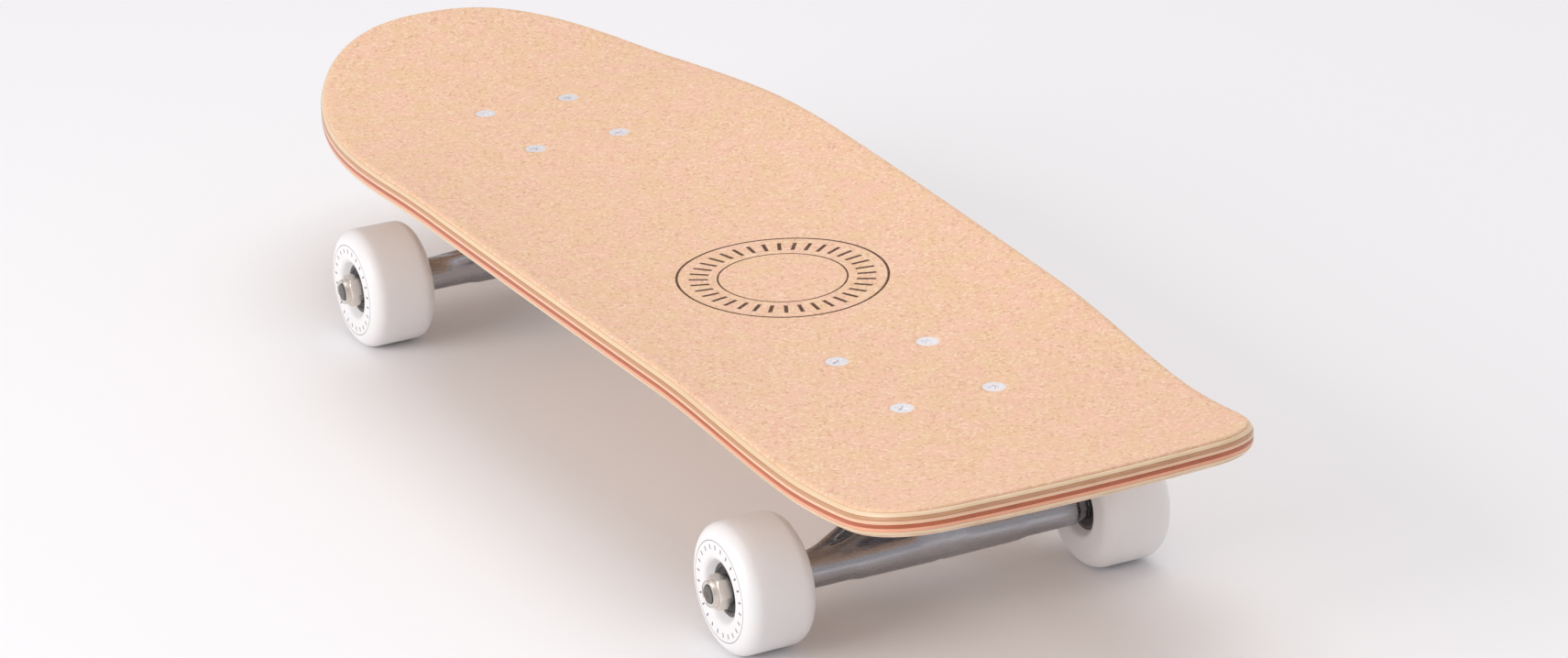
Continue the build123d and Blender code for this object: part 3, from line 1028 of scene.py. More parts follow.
def finish_table(mark: tuple[float, float]) -> dict[str, Finish]:
    """The finish of each material slot that doesn't depend on a piece's place.

    Args:
        mark: where the dial on the grip has its centre, as x and y.

    Returns:
        Finishes by slot name.
    """
    across = (60.0, 2600.0, 2600.0)
    along_axle = (1400.0, 30.0, 1400.0)
    return {
        "grip": CorkGrip(mark=mark),
        "ply_cream": Veneer((0.930, 0.820, 0.685), (0.850, 0.710, 0.560), 0.4),
        "ply_tan": Veneer((0.800, 0.600, 0.450), (0.680, 0.470, 0.330), 0.45),
        "ply_peach": Veneer((0.945, 0.775, 0.645), (0.880, 0.660, 0.510), 0.35),
        "ply_orange": Veneer((0.740, 0.375, 0.215), (0.560, 0.265, 0.150), 0.45),
        "ply_pink": Veneer((0.950, 0.680, 0.545), (0.880, 0.570, 0.430), 0.35),
        "ply_maple_face": Veneer((0.930, 0.810, 0.700), (0.800, 0.640, 0.490), 0.75, 0.36),
        "bolt_steel": Metal((0.985, 0.975, 0.985), 0.58, (900.0, 900.0, 900.0), 0.10),
        "nut_steel": Metal((0.90, 0.87, 0.84), 0.31, (700.0, 700.0, 700.0), 0.05),
        "cast_aluminium": Metal((0.66, 0.655, 0.67), 0.42, (1100.0, 1100.0, 1100.0), 0.14, 0.06),
        "polished_aluminium": Metal((0.69, 0.685, 0.705), 0.23, along_axle, 0.16, 0.03),
        "kingpin_steel": Metal((0.62, 0.61, 0.60), 0.32, across, 0.12),
        "washer_steel": Metal((0.80, 0.80, 0.81), 0.28, (800.0, 800.0, 800.0), 0.10),
        # the bearings' steel: its own grey, darkened further as painted shade so the outer rings deep in the
        # wheel's recess look shaded
        "bearing_steel": Metal((0.43, 0.42, 0.42), 0.36, (500.0, 500.0, 500.0), 0.08),
        "spacer_steel": Metal((0.66, 0.66, 0.67), 0.30, (500.0, 500.0, 500.0), 0.08),
        "axle_steel": Metal((0.50, 0.49, 0.48), 0.34, (500.0, 500.0, 500.0), 0.10),
        "pivot_plastic": Polymer((0.90, 0.90, 0.88), 0.45),
        "bushing_urethane": Polymer((0.93, 0.91, 0.86), 0.36, 0.10),
        "cage_nylon": Polymer((0.24, 0.24, 0.25), 0.5),
        "shield_rubber": Polymer((0.085, 0.083, 0.085), 0.42),
    }


@dataclass
class Workshop:
    """Dresses the pieces: it makes each slot's material once and keeps the count of pieces."""

    finishes: dict[str, Finish]
    made: dict[str, bpy.types.Material] = field(default_factory=dict)
    pieces: int = 0

    def material(self, slot: str) -> bpy.types.Material:
        """The material of a slot, made when it is first asked for.

        Args:
            slot: the record's material slot.

        Returns:
            The material.
        """
        if slot not in self.made:
            self.made[slot] = self.finishes[slot].build(slot)
        return self.made[slot]

    def coat(self, piece: bpy.types.Object, slot: str, material: bpy.types.Material | None = None) -> None:
        """Gives a piece the material of its slot.

        Args:
            piece: the object.
            slot: the material slot that it takes its finish from.
            material: a material of its own, if the slot's won't do.
        """
        piece.data.materials.clear()
        piece.data.materials.append(material or self.material(slot))

    def dress(self, piece: bpy.types.Object, slot: str, body: str, *nodes: str,
              material: bpy.types.Material | None = None) -> None:
        """Gives a piece its material and says what it is.

        Args:
            piece: the object.
            slot: the material slot that it takes its finish from.
            body: the frame body that it moves with.
            *nodes: the frame nodes that it stands for.
            material: a material of its own, if the slot's won't do.
        """
        self.coat(piece, slot, material)
        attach(piece, body)
        if nodes:
            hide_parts(*nodes)
        self.pieces += 1
        LOG.info("%s: %d faces, %s, moves with %s", piece.name, len(piece.data.polygons), slot, body)

    def dress_soft(self, piece: bpy.types.Object, slot: str, bodies: tuple[str, str],
                   reach: tuple[Array, Array], node: str) -> None:
        """Gives a soft piece its material, bakes its place into its mesh and hides the frame node that it
        stands for.

        Args:
            piece: the object.
            slot: the material slot that it takes its finish from.
            bodies: the body at its one end and the body at its other end, named in the log.
            reach: the points where the bending begins and ends; not used.
            node: the frame node that it stands for.
        """
        self.coat(piece, slot)
        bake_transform(piece)
        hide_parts(node)
        self.pieces += 1
        LOG.info("%s: %d faces, %s, bends between %s and %s", piece.name, len(piece.data.polygons), slot,
                 *bodies)

    def dress_kept(self, node: str, slot: str) -> None:
        """Gives a frame node that is shown as it is its material.

        Args:
            node: the node's name.
            slot: the material slot.
        """
        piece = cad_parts[node]
        piece.data.materials.clear()
        piece.data.materials.append(self.material(slot))
        LOG.info("%s is shown as packed, in %s", node, slot)


# ---------------------------------------------------------------- deck

def smooth_step(value: Array) -> Array:
    """0 below 0, 1 above 1, and the cubic t t (3 - 2 t) between.

    Args:
        value: any numbers.

    Returns:
        The steps.
    """
    t = np.clip(value, 0, 1)
    return t * t * (3 - 2 * t)


@dataclass
class Deck:
    """The seven-ply deck and its grip sheet: concave across, kicked at both ends."""

    shop: Workshop
    count: int = 420
    cap: float = 5.0 * MM
    edge_r: float = 4.0 * MM
    holes: list[tuple[float, float]] = field(default_factory=list)
    tail: float = field(init=False)
    nose: float = field(init=False)
    half: float = field(init=False)
    top: float = field(init=False)
    under: float = field(init=False)
    thickness: float = field(init=False)
    edge: tuple[Array, Array] = field(init=False)
    flat_net: tuple[Array, Array, Array] = field(init=False)

    def __post_init__(self) -> None:
        """Reads the deck's size from the frame."""
        low, high = corners("deck_ply_4")
        self.tail, self.nose, self.half = low[0], high[0], high[1]
        self.top = corners("mount_bolts")[1][2]
        self.under = corners("deck_ply_7")[0][2]
        self.thickness = self.top - self.under

    def rise(self, x: Array, y: Array) -> Array:
        """How far the surface lies over its flat middle.

        Args:
            x: places along the deck.
            y: places across it.

        Returns:
            The concave, a power of the distance from the middle line that fades out towards both
            ends, plus a kick at each end, a power of how far into it the place lies.
        """
        fade = smooth_step((x - self.tail - 71 * MM) / (110 * MM))
        fade = fade * smooth_step((self.nose - 75 * MM - x) / (160 * MM))
        concave = 7.7 * MM * fade * (np.abs(y) / self.half) ** 2.2
        tail = 9.5 * MM * np.clip((self.tail + 74 * MM - x) / (74 * MM), 0, None) ** 1.7
        nose = 11.7 * MM * np.clip((x - self.nose + 90 * MM) / (90 * MM), 0, None) ** 1.7
        return concave + tail + nose

    def outline(self) -> tuple[Array, Array]:
        """The deck's outline and its inward directions.

        One side is a shallow bow across the tail, a rounded corner, a side that widens by a power
        law, and a superellipse round the nose. The other side is its mirror image. The whole is
        then divided evenly by arc length.

        Returns:
            The points and the inward unit vectors, going round anticlockwise from the tail.
        """
        corner_r, bow, tail_half = 34 * MM, 2.6 * MM, 87 * MM
        corner_x = self.tail + corner_r
        widest = self.nose - 190 * MM
        end_y = tail_half - corner_r
        y = np.linspace(0, end_y, 40, endpoint=False)
        end = np.stack([self.tail + bow * (y / end_y) ** 2, y], axis=1)
        a = np.linspace(0, pi / 2, 60, endpoint=False)
        square = 2 / 2.1
        corner = np.stack([corner_x - (corner_r - bow) * np.cos(a) ** square,
                           end_y + corner_r * np.sin(a) ** square], axis=1)
        x = np.linspace(corner_x, widest, 200, endpoint=False)
        share = (widest - x) / (widest - corner_x)
        side = np.stack([x, self.half - (self.half - tail_half) * share ** 1.5], axis=1)
        a = np.linspace(0, pi / 2, 400)
        nose = np.stack([widest + (self.nose - widest) * np.sin(a) ** (2 / 2.05),
                         self.half * np.cos(a) ** (2 / 2.4)], axis=1)
        half = np.concatenate([end, corner, side, nose])
        mirror = half[1:-1][::-1] * np.array([1, -1])
        loop = np.concatenate([half, mirror])[::-1]
        closed = np.concatenate([loop, loop[:1]])
        length = np.concatenate([[0], np.cumsum(np.linalg.norm(np.diff(closed, axis=0), axis=1))])
        at = np.linspace(0, length[-1], self.count, endpoint=False)
        points = np.stack([np.interp(at, length, closed[:, k]) for k in (0, 1)], axis=1)
        for _ in range(3):
            points = points * 0.5 + (np.roll(points, 1, axis=0) + np.roll(points, -1, axis=0)) * 0.25
        tangent = np.roll(points, -1, axis=0) - np.roll(points, 1, axis=0)
        tangent /= np.linalg.norm(tangent, axis=1)[:, None]
        return points, np.stack([-tangent[:, 1], tangent[:, 0]], axis=1)

    def inset(self, depth: float) -> float:
        """How far the rounded edge draws the wood in: a quarter circle at top and bottom.

        Args:
            depth: how far under the deck's top.

        Returns:
            The distance inwards from the outline.
        """
        reach = self.edge_r - min(depth, self.thickness - depth)
        if reach <= 0:
            return 0.0
        return self.edge_r - float(np.sqrt(max(self.edge_r ** 2 - reach ** 2, 0)))

    def hole_r(self, depth: float) -> float:
        """The screw hole's radius: a countersink that narrows to the shank's hole.

        Args:
            depth: how far under the deck's top.

        Returns:
            The radius.
        """
        return max(4.8 * MM - max(depth, 0.0) * 0.94, 2.5 * MM)

    def net(self) -> tuple[Array, Array, Array]:
        """One flat triangle net for every layer, with a hole for each bolt.

        Returns:
            The points, the triangles going round anticlockwise, and for each point the number of
            the hole whose rim it is on, or -1.
        """
        edge, inward = self.outline()
        rim = edge + inward * self.cap
        turn = np.linspace(0, tau, 28, endpoint=False)
        circle = np.stack([np.cos(turn), np.sin(turn)], axis=1)
        rims = [np.array(hole) + circle * self.hole_r(0) for hole in self.holes]
        step = 7 * MM
        rows = np.arange(-self.half, self.half, step * 0.866)
        columns = np.arange(self.tail, self.nose, step)
        lattice = np.array([(x + (i % 2) * step / 2, y) for i, y in enumerate(rows) for x in columns])
        gap = np.linalg.norm(lattice[:, None] - rim[None], axis=2).min(axis=1)
        lattice = lattice[(gap > step * 0.55) & self.within(lattice, rim)]
        for hole in self.holes:
            lattice = lattice[np.linalg.norm(lattice - hole, axis=1) > 11 * MM]
        rounds = [np.array(hole) + circle * r for hole in self.holes for r in (6.4 * MM, 8.8 * MM)]
        points = np.concatenate([rim, *rims, lattice, *rounds])
        belongs = np.full(len(points), -1)
        loops = [np.arange(len(rim))]
        for number in range(len(self.holes)):
            loop = len(rim) + number * len(circle) + np.arange(len(circle))
            belongs[loop] = number
            loops.append(loop)
        edges = [(int(a), int(b)) for loop in loops for a, b in zip(loop, np.roll(loop, -1))]
        flat = [Vector((float(x) / MM, float(y) / MM)) for x, y in points]
        found, _, triangles, origin, _, _ = delaunay_2d_cdt(flat, edges, [], 0, 1e-4)
        if len(found) != len(points):
            raise ValueError("the deck's net gained or lost a point")
        old = np.array([o[0] for o in origin])
        faces = old[np.array([t[:] for t in triangles])]
        middle = points[faces].mean(axis=1)
        keep = self.within(middle, rim)
        for hole in self.holes:
            keep &= np.linalg.norm(middle - hole, axis=1) > self.hole_r(0) * 0.985
        faces = faces[keep]
        a, b, c = points[faces[:, 0]], points[faces[:, 1]], points[faces[:, 2]]
        turned = (b[:, 0] - a[:, 0]) * (c[:, 1] - a[:, 1]) - (b[:, 1] - a[:, 1]) * (c[:, 0] - a[:, 0]) < 0
        faces[turned] = faces[turned][:, ::-1]
        return points, faces, belongs

    def within(self, points: Array, loop: Array) -> Array:
        """Which points lie inside a loop: those whose ray along +X crosses it an odd number of times.

        Args:
            points: the points.
            loop: the loop's corners in order.

        Returns:
            True for each point inside.
        """
        x0, y0 = loop[:, 0], loop[:, 1]
        x1, y1 = np.roll(x0, -1), np.roll(y0, -1)
        px, py = points[:, 0][:, None], points[:, 1][:, None]
        spans = (y0 > py) != (y1 > py)
        where = x0 + (py - y0) * (x1 - x0) / np.where(y1 == y0, 1, y1 - y0)
        return (spans & (px < where)).sum(axis=1) % 2 == 1

    def layer(self, name: str, top: float, bottom: float, insets: Callable[[float], float]
              ) -> bpy.types.Object:
        """One bent layer with holes, its outer edge following the rounded profile.

        Args:
            name: the object's name.
            top: the depth of its upper face.
            bottom: the depth of its lower face.
            insets: how far the edge is drawn in, at a depth.

        Returns:
            The object.
        """
        flat, triangles, belongs = self.flat_net
        edge, inward = self.edge
        ease = 0.13 * MM
        depths = np.concatenate([[top], np.linspace(top + ease, bottom - ease, 4), [bottom]])
        shrink = [insets(float(d)) for d in depths]
        shrink[0] += ease
        shrink[-1] += ease
        rings = [np.concatenate([edge + inward * s, np.full((len(edge), 1), d)], axis=1)
                 for s, d in zip(shrink, depths)]
        sheets = []
        for depth in (top, bottom):
            sheet = flat.copy()
            for number, hole in enumerate(self.holes):
                rim = belongs == number
                sheet[rim] = hole + (flat[rim] - hole) * (self.hole_r(depth) / self.hole_r(0))
            sheets.append(np.concatenate([sheet, np.full((len(sheet), 1), depth)], axis=1))
        points = np.concatenate([*sheets, *rings])
        size, around = len(flat), len(edge)
        here = np.arange(around)
        after = np.roll(here, -1)
        starts = [0] + [2 * size + k * around for k in range(len(rings))] + [size]
        walls = [np.stack([a + here, b + here, b + after, a + after], axis=1)
                 for a, b in zip(starts, starts[1:])]
        for number in range(len(self.holes)):
            rim = np.flatnonzero(belongs == number)
            ahead = np.roll(rim, -1)
            walls.append(np.stack([rim, ahead, size + ahead, size + rim], axis=1))
        points[:, 2] = self.top - points[:, 2] + self.rise(points[:, 0], points[:, 1])
        faces = [np.concatenate([triangles, triangles[:, ::-1] + size]), np.concatenate(walls)]
        return add_piece(name, points, faces, 50.0)

    def build(self) -> None:
        """Makes the grip sheet and the seven plies."""
        self.edge = self.outline()
        self.flat_net = self.net()
        grip_depth = 1.0 * MM
        grip = self.layer("cork_grip", 0.0, grip_depth, lambda depth: 2.3 * MM - 0.45 * depth)
        self.shop.dress(grip, "grip", "deck", "grip_sheet")
        slots = ("ply_cream", "ply_tan", "ply_peach", "ply_orange", "ply_pink", "ply_cream", "ply_maple_face")
        glue = 0.05 * MM
        pitch = (self.thickness - grip_depth) / len(slots)
        for number, slot in enumerate(slots, 1):
            bottom = grip_depth + pitch * number
            ply = self.layer(f"veneer_{number}", bottom - pitch + glue, bottom, self.inset)
            self.shop.dress(ply, slot, "deck", f"deck_ply_{number}")


# ---------------------------------------------------------------- mounting bolts

@dataclass
class MountHardware:
    """Eight countersunk cross-head bolts and their locking nuts."""

    shop: Workshop
    deck: Deck
    shank_r: float = 2.4 * MM
    length: float = 25.4 * MM

    def head(self, name: str, place: Place) -> bpy.types.Object:
        """A countersunk head with a cross recess, its top at the place.

        The recess is a heightfield over a polar grid: each of two crossed slots is as deep as the
        product of two soft steps, one across it and one along it, and it narrows towards its end.

        Args:
            name: the object's name.
            place: where it goes.

        Returns:
            The object.
        """
        angle = np.linspace(0, tau, 96, endpoint=False)[None]
        flat = np.concatenate([np.linspace(0.15, 3.1, 22), [3.6, 4.2, 4.5]])[:, None] * MM
        x, y = flat * np.cos(angle), flat * np.sin(angle)
        soft = 0.16 * MM
        depth = 0 * x
        for along, across in ((x, y), (y, x)):
            width = 0.62 * MM - np.abs(along) * 0.10
            slot = smooth_step((width - np.abs(across)) / soft)
            slot = slot * smooth_step((2.6 * MM - np.abs(along)) / soft)
            depth = np.maximum(depth, slot * (2.1 * MM - np.abs(along) * 0.55))
        top = np.stack([x, y, -depth], axis=-1)
        body = rounded([(4.7 * MM, -0.06 * MM, 0), (4.7 * MM, -0.2 * MM, 0), (self.shank_r, -2.5 * MM, 0)])
        cone = np.stack([body[:, :1] * np.cos(angle), body[:, :1] * np.sin(angle), body[:, 1:] + 0 * angle],
                        axis=-1)
        rings = place.points(np.concatenate([top, cone]))
        ends = (place.points(np.array([0, 0, -2.1 * MM])), place.points(np.array([0, 0, -2.5 * MM])))
        return closed_grid(name, rings, ends, 38.0)

    def build(self) -> None:
        """Makes the bolts as one piece and the nuts as another."""
        bolts, nuts, inserts = [], [], []
        nut_low, nut_high = corners("mount_nuts")
        height = nut_high[2] - nut_low[2]
        for x, y in self.deck.holes:
            top = self.deck.top + float(self.deck.rise(np.array(x), np.array(y))) - 0.05 * MM
            turn = (x * 37 + y * 91) * 40
            spun = np.array([cos(turn), sin(turn), 0.0])
            bolts.append(self.head("head", aimed(np.array([x, y, top]), np.array([0, 0, 1.0]), spun)))
            down = aimed(np.array([x, y, top - 2.4 * MM]), np.array([0, 0, -1.0]), spun)
            shank = self.deck.top - self.length
            bolts.append(threaded_rod("shank", self.shank_r, top - 2.4 * MM - shank, 6 * MM, down))
            foot = aimed(np.array([x, y, nut_high[2]]), np.array([0, 0, -1.0]), spun)
            nuts.append(hex_nut("nut", 9.5 * MM, height - 1.3 * MM, self.shank_r * 1.28, foot,
                                (3.9 * MM, 1.3 * MM)))
            ring_r = self.shank_r * 1.27
            low = height - 1.6 * MM
            insert = [(self.shank_r, low, 0), (ring_r, low, 0), (ring_r, height - 0.1 * MM, 0),
                      (self.shank_r, height - 0.1 * MM, 0)]
            inserts.append(lathe("insert", rounded(insert), foot, 40))
        self.shop.dress(join("deck_bolts", bolts), "bolt_steel", "deck", "mount_bolts")
        self.shop.dress(join("deck_bolt_nuts", nuts), "nut_steel", "deck", "mount_nuts")
        self.shop.dress(join("deck_nut_inserts", inserts), "cage_nylon", "deck")


# ---------------------------------------------------------------- trucks

# each casting's net, worked out once and used by both trucks
CASTINGS: dict[str, tuple[Array, Array]] = {}


@dataclass
class TruckSet:
    """One truck: baseplate, kingpin with its bushings, hanger and axle.

    Its own axes run from the middle of its four bolts: u inboard, y across, z up from the
    baseplate's top. Its sizes here are in millimetres.
    """

    shop: Workshop
    truck: Truck
    pattern: Array
    ring: tuple[float, float] = (13.0, -36.0)
    tilt: float = 25.0
    pivot: tuple[float, float] = (-31.0, -14.5)
    pivot_angle: float = 50.0
    axle: tuple[float, float] = (-14.0, -54.75)
    hanger_half: float = 67.5
    seat: float = -19.5
    home: Place = field(init=False)
    axle_reach: float = field(init=False)

    def __post_init__(self) -> None:
        """Takes the truck's place from the frame, and stops if the frame's axle is elsewhere."""
        label = self.truck.label
        top = corners(f"{label}_baseplate")[1][2]
        sign = self.truck.value
        self.home = Place(np.array([self.pattern[0], 0.0, top]), np.diag([sign, sign, 1.0]))
        low, high = corners(f"{label}_axle")
        middle = (low + high) / 2
        expected = self.home.points(np.array([self.axle[0], 0, self.axle[1]]) * MM)
        if np.linalg.norm(middle - expected) > 0.5 * MM:
            raise ValueError(f"{label} axle is at {middle}, not {expected}")
        self.axle_reach = (high[1] - low[1]) / 2

    def body(self) -> str:
        """The frame body of the pieces that steer."""
        return f"{self.truck.label}_hanger_set"

    def along(self, origin: tuple[float, float], angle: float, distance: float) -> Place:
        """A place on a line in the truck's middle plane, its third axis pointing along the line.

        Args:
            origin: the line's start as (u, z).
            angle: how far below u the line points, in degrees.
            distance: how far along it the place is.

        Returns:
            The place, in the frame's axes.
        """
        way = np.array([cos(radians(angle)), 0.0, -sin(radians(angle))])
        local = np.array([origin[0], 0.0, origin[1]]) + way * distance
        return aimed(self.home.points(local * MM), self.home.axes @ way, np.array([0, 1.0, 0]))

    def kingpin_at(self, t: float) -> Place:
        """A place on the kingpin, pointing to the nut.

        Args:
            t: how far it is below the hanger ring's middle, in millimetres.

        Returns:
            The place, in the frame's axes.
        """
        return self.along(self.ring, 90 - self.tilt, t)

    def axle_at(self, y: float) -> Place:
        """A place on the axle, pointing outwards.

        Args:
            y: how far it is from the middle, in millimetres.

        Returns:
            The place, in the frame's axes.
        """
        local = np.array([self.axle[0], y, self.axle[1]])
        way = np.array([0, 1.0 if y >= 0 else -1.0, 0])
        return aimed(self.home.points(local * MM), self.home.axes @ way, ALONG)

    @staticmethod
    def line(origin: tuple[float, float], angle: float, t: float) -> Array:
        """A point on a line in the middle plane.

        Args:
            origin: the line's start as (u, z).
            angle: how far below u the line points, in degrees.
            t: how far along it the point is.

        Returns:
            The point, in the truck's own axes.
        """
        return np.array([origin[0] + t * cos(radians(angle)), 0.0, origin[1] - t * sin(radians(angle))])

    def hanger_field(self, p: Array) -> Array:
        """The hanger's distance field: an axle tube, wings with two ridges, a yoke, a ring and a pivot stem.

        Args:
            p: points in the truck's own axes, in millimetres.

        Returns:
            The distances, negative inside.
        """
        u0, z0 = self.axle
        mirrored = np.stack([p[..., 0], np.abs(p[..., 1]), p[..., 2]], axis=-1)
        half = self.hanger_half
        tube = rod(p, np.array([u0, -half + 5, z0]), np.array([u0, half - 5, z0]), 7.5, 0.7)
        ends = rod(p, np.array([u0, -half, z0]), np.array([u0, half, z0]), 6.6, 0.5)
        body = smooth_union(tube, ends, 0.8)
        swell = horn(mirrored, np.array([u0, 4, z0 + 1.5]), np.array([u0, 34, z0]), 9.2, 7.4)
        body = smooth_union(body, swell, 3.0)
        tip, root = np.array([u0, 59.0, -50.6]), np.array([5.0, 11.0, -39.6])
        wing = triangle(mirrored, np.array([u0, 60.0, -54.0]), root, np.array([u0, 8.0, -54.0])) - 1.7
        crest = horn(mirrored, tip, root, 1.9, 3.0)
        wing = smooth_union(wing, crest, 1.6)
        rib = horn(mirrored, np.array([u0 - 3.2, 57.0, -51.4]), np.array([-9.5, 12.0, -41.5]), 1.5, 2.4)
        shelf = triangle(mirrored, np.array([u0 - 2.0, 58.0, -53.0]), np.array([-9.5, 12.0, -41.5]),
                         np.array([u0 - 3.0, 8.0, -53.0])) - 1.5
        wing = smooth_union(wing, smooth_union(rib, shelf, 1.2), 1.6)
        body = smooth_union(body, wing, 2.6)
        yoke = [(-20.5, -56.0), (-8.0, -57.0), (2.0, -45.8), (-2.0, -40.7), (-9.0, -35.5), (-13.5, -34.8),
                (-19.5, -41.0), (-21.0, -47.0)]
        body = smooth_union(body, plate(p[..., 0], p[..., 2], p[..., 1], yoke, 10.5, 3.0), 4.0)
        ring_middle = self.line(self.ring, 90 - self.tilt, 0)
        way = self.line(self.ring, 90 - self.tilt, 1) - ring_middle
        body = smooth_union(body, rod(p, ring_middle - 4 * way, ring_middle + 4 * way, 14.5, 1.2), 3.5)
        ball = self.line(self.pivot, self.pivot_angle, 0)
        stem = smooth_union(np.linalg.norm(p - ball, axis=-1) - 5.0,
                            horn(p, ball, self.line(self.pivot, self.pivot_angle, 33), 4.5, 9.0), 1.0)
        body = smooth_union(body, stem, 3.0)
        clear = rod(p, ring_middle - 24 * way, ring_middle - 4 * way, 15.0, 0.6)
        body = smooth_cut(body, clear, 1.2)
        return smooth_cut(body, rod(p, ring_middle - 12 * way, ring_middle + 12 * way, 7.6, 0.5), 0.8)

    def baseplate_field(self, p: Array) -> Array:
        """The baseplate's distance field: a flange with a sunk middle, a kingpin boss and a pivot housing.

        Args:
            p: points in the truck's own axes, in millimetres.

        Returns:
            The distances, negative inside.
        """
        corner, ease = 7.0, 1.0
        q = np.stack([np.abs(p[..., 0]) - 40 + corner, np.abs(p[..., 1]) - 28 + corner], axis=-1)
        away = np.linalg.norm(np.maximum(q, 0), axis=-1) + np.minimum(q.max(axis=-1), 0) - corner
        w = np.stack([away + ease, np.abs(p[..., 2] + 1.5) - 4.0 + ease], axis=-1)
        body = np.linalg.norm(np.maximum(w, 0), axis=-1) + np.minimum(w.max(axis=-1), 0) - ease
        mirrored = np.stack([np.abs(p[..., 0]), np.abs(p[..., 1]), p[..., 2]], axis=-1)
        pocket = block(mirrored, np.array([0, 19.5, -6.2]), np.array([15.5, 5.0, 2.4]), 1.4)
        body = smooth_cut(body, pocket, 1.2)
        base = self.line(self.ring, 90 - self.tilt, self.seat)
        way = self.line(self.ring, 90 - self.tilt, 1) - self.line(self.ring, 90 - self.tilt, 0)
        body = smooth_union(body, rod(p, base - 30 * way, base, 14.0, 0.8), 5.0)
        ball = self.line(self.pivot, self.pivot_angle, 0)
        stem = self.line(self.pivot, self.pivot_angle, 1) - ball
        housing = rod(p, ball - 11.2 * stem, ball + 3.0 * stem, 10.7, 1.0)
        body = smooth_union(body, housing, 4.0)
        body = smooth_union(body, block(p, np.array([-13.0, 0, -6.5]), np.array([16.0, 4.0, 3.0]), 1.5), 4.0)
        body = smooth_cut(body, rod(p, ball - 8.0 * stem, ball + 24 * stem, 7.56, 0.3), 0.6)
        body = smooth_cut(body, rod(p, base - 4 * way, base + 20 * way, 5.6, 0.3), 0.6)
        return np.maximum(np.maximum(body, p[..., 2]), np.abs(p[..., 0]) - 41)

    def casting(self, name: str, shape: Callable[[Array], Array], low: Array, high: Array, step: float
                ) -> bpy.types.Object:
        """A cast piece from its distance field, which is worked out once for both trucks.

        Args:
            name: the object's name.
            shape: the field.
            low: the lowest corner of the room it needs, in millimetres.
            high: the highest corner.
            step: the net's spacing.

        Returns:
            The object.
        """
        key = shape.__name__
        if key not in CASTINGS:
            CASTINGS[key] = surface_net(shape, low, high, step)
        points, quads = CASTINGS[key]
        return add_piece(name, self.home.points(points * MM), [quads], 55.0)

    def turned(self, name: str, profile: list[tuple[float, float, float]], place: Place, segments: int = 72
               ) -> bpy.types.Object:
        """A turned piece from a profile in millimetres.

        Args:
            name: the object's name.
            profile: its corners as (radius, height, rounding).
            place: where it goes.
            segments: how many steps round.

        Returns:
            The object.
        """
        return lathe(name, rounded(profile) * MM, place, segments)

    def build_castings(self) -> None:
        """Makes the baseplate and the hanger."""
        label = self.truck.label
        base = self.casting(f"{label}_truck_base", self.baseplate_field, np.array([-44.0, -31.0, -34.0]),
                            np.array([44.0, 31.0, 2.0]), 0.8)
        self.shop.dress(base, "cast_aluminium", "deck", f"{label}_baseplate")
        arm = self.casting(f"{label}_truck_hanger", self.hanger_field, np.array([-39.0, -70.0, -66.0]),
                           np.array([31.0, 70.0, -7.0]), 0.85)
        self.shop.dress(arm, "polished_aluminium", self.body(), f"{label}_hanger")

    def build_kingpin(self) -> None:
        """Makes the kingpin, its nut, both bushings and both cup washers."""
        label = self.truck.label
        head = self.turned("head", [(0, -4.6, 0), (7.9, -4.6, 0.8), (7.9, 0, 0.6), (0, 0, 0)],
                           self.kingpin_at(self.seat - 12.0))
        length, end = 57.9, 26.5
        shank = threaded_rod("shank", KINGPIN_R * MM, length * MM, 11 * MM, self.kingpin_at(end - length))
        pin = join(f"{label}_truck_kingpin", [head, shank])
        self.shop.dress(pin, "kingpin_steel", "deck", f"{label}_kingpin")
        bore, wide = 5.06, 5.8
        bodies = ("deck", self.body())
        board = self.turned(f"{label}_barrel_bushing", [
            (bore, 0, 0), (11.6, 0, 0.5), (12.4, 2.8, 2.0), (12.4, 11.0, 2.0), (11.6, 13.8, 0.5),
            (6.9, 13.8, 0), (6.9, 16.3, 0.4), (wide, 16.3, 0)], self.kingpin_at(self.seat + 1.5))
        reach = (self.kingpin_at(self.seat + 1.5).origin, self.kingpin_at(-4.2).origin)
        self.shop.dress_soft(board, "bushing_urethane", bodies, reach, f"{label}_boardside_bushing")
        road = self.turned(f"{label}_cone_bushing", [
            (wide, -2.5, 0), (6.9, -2.5, 0.4), (6.9, 0, 0), (11.6, 0, 0.5), (12.4, 1.6, 1.0),
            (9.5, 10.8, 0.6), (bore, 10.8, 0)], self.kingpin_at(4.2))
        reach = (self.kingpin_at(15.0).origin, self.kingpin_at(4.2).origin)
        self.shop.dress_soft(road, "bushing_urethane", bodies, reach, f"{label}_roadside_bushing")
        cups = (("large_cup", 13.3, self.seat, 1, "boardside"), ("small_cup", 11.4, 16.5, -1, "roadside"))
        for name, outer, t, way, node in cups:
            place = self.kingpin_at(t)
            if way < 0:
                place = aimed(place.origin, -place.axes[:, 2], np.array([0, 1.0, 0]))
            cup = self.turned(f"{label}_{name}", [
                (4.96, 0, 0), (outer - 0.6, 0, 0), (outer, 0.6, 0.5), (outer, 3.5, 0.25),
                (outer - 0.7, 3.5, 0.25), (outer - 0.7, 1.5, 0.4), (4.96, 1.5, 0)], place)
            self.shop.dress(cup, "washer_steel", "deck", f"{label}_{node}_washer")
        nut = hex_nut(f"{label}_kingpin_locknut", 14.3 * MM, 6.4 * MM, 4.8 * MM, self.kingpin_at(16.5),
                      (6.3 * MM, 1.6 * MM))
        self.shop.dress(nut, "nut_steel", "deck", f"{label}_kingpin_nut")
        self.shop.dress_kept(f"{label}_pivot_cup", "pivot_plastic")

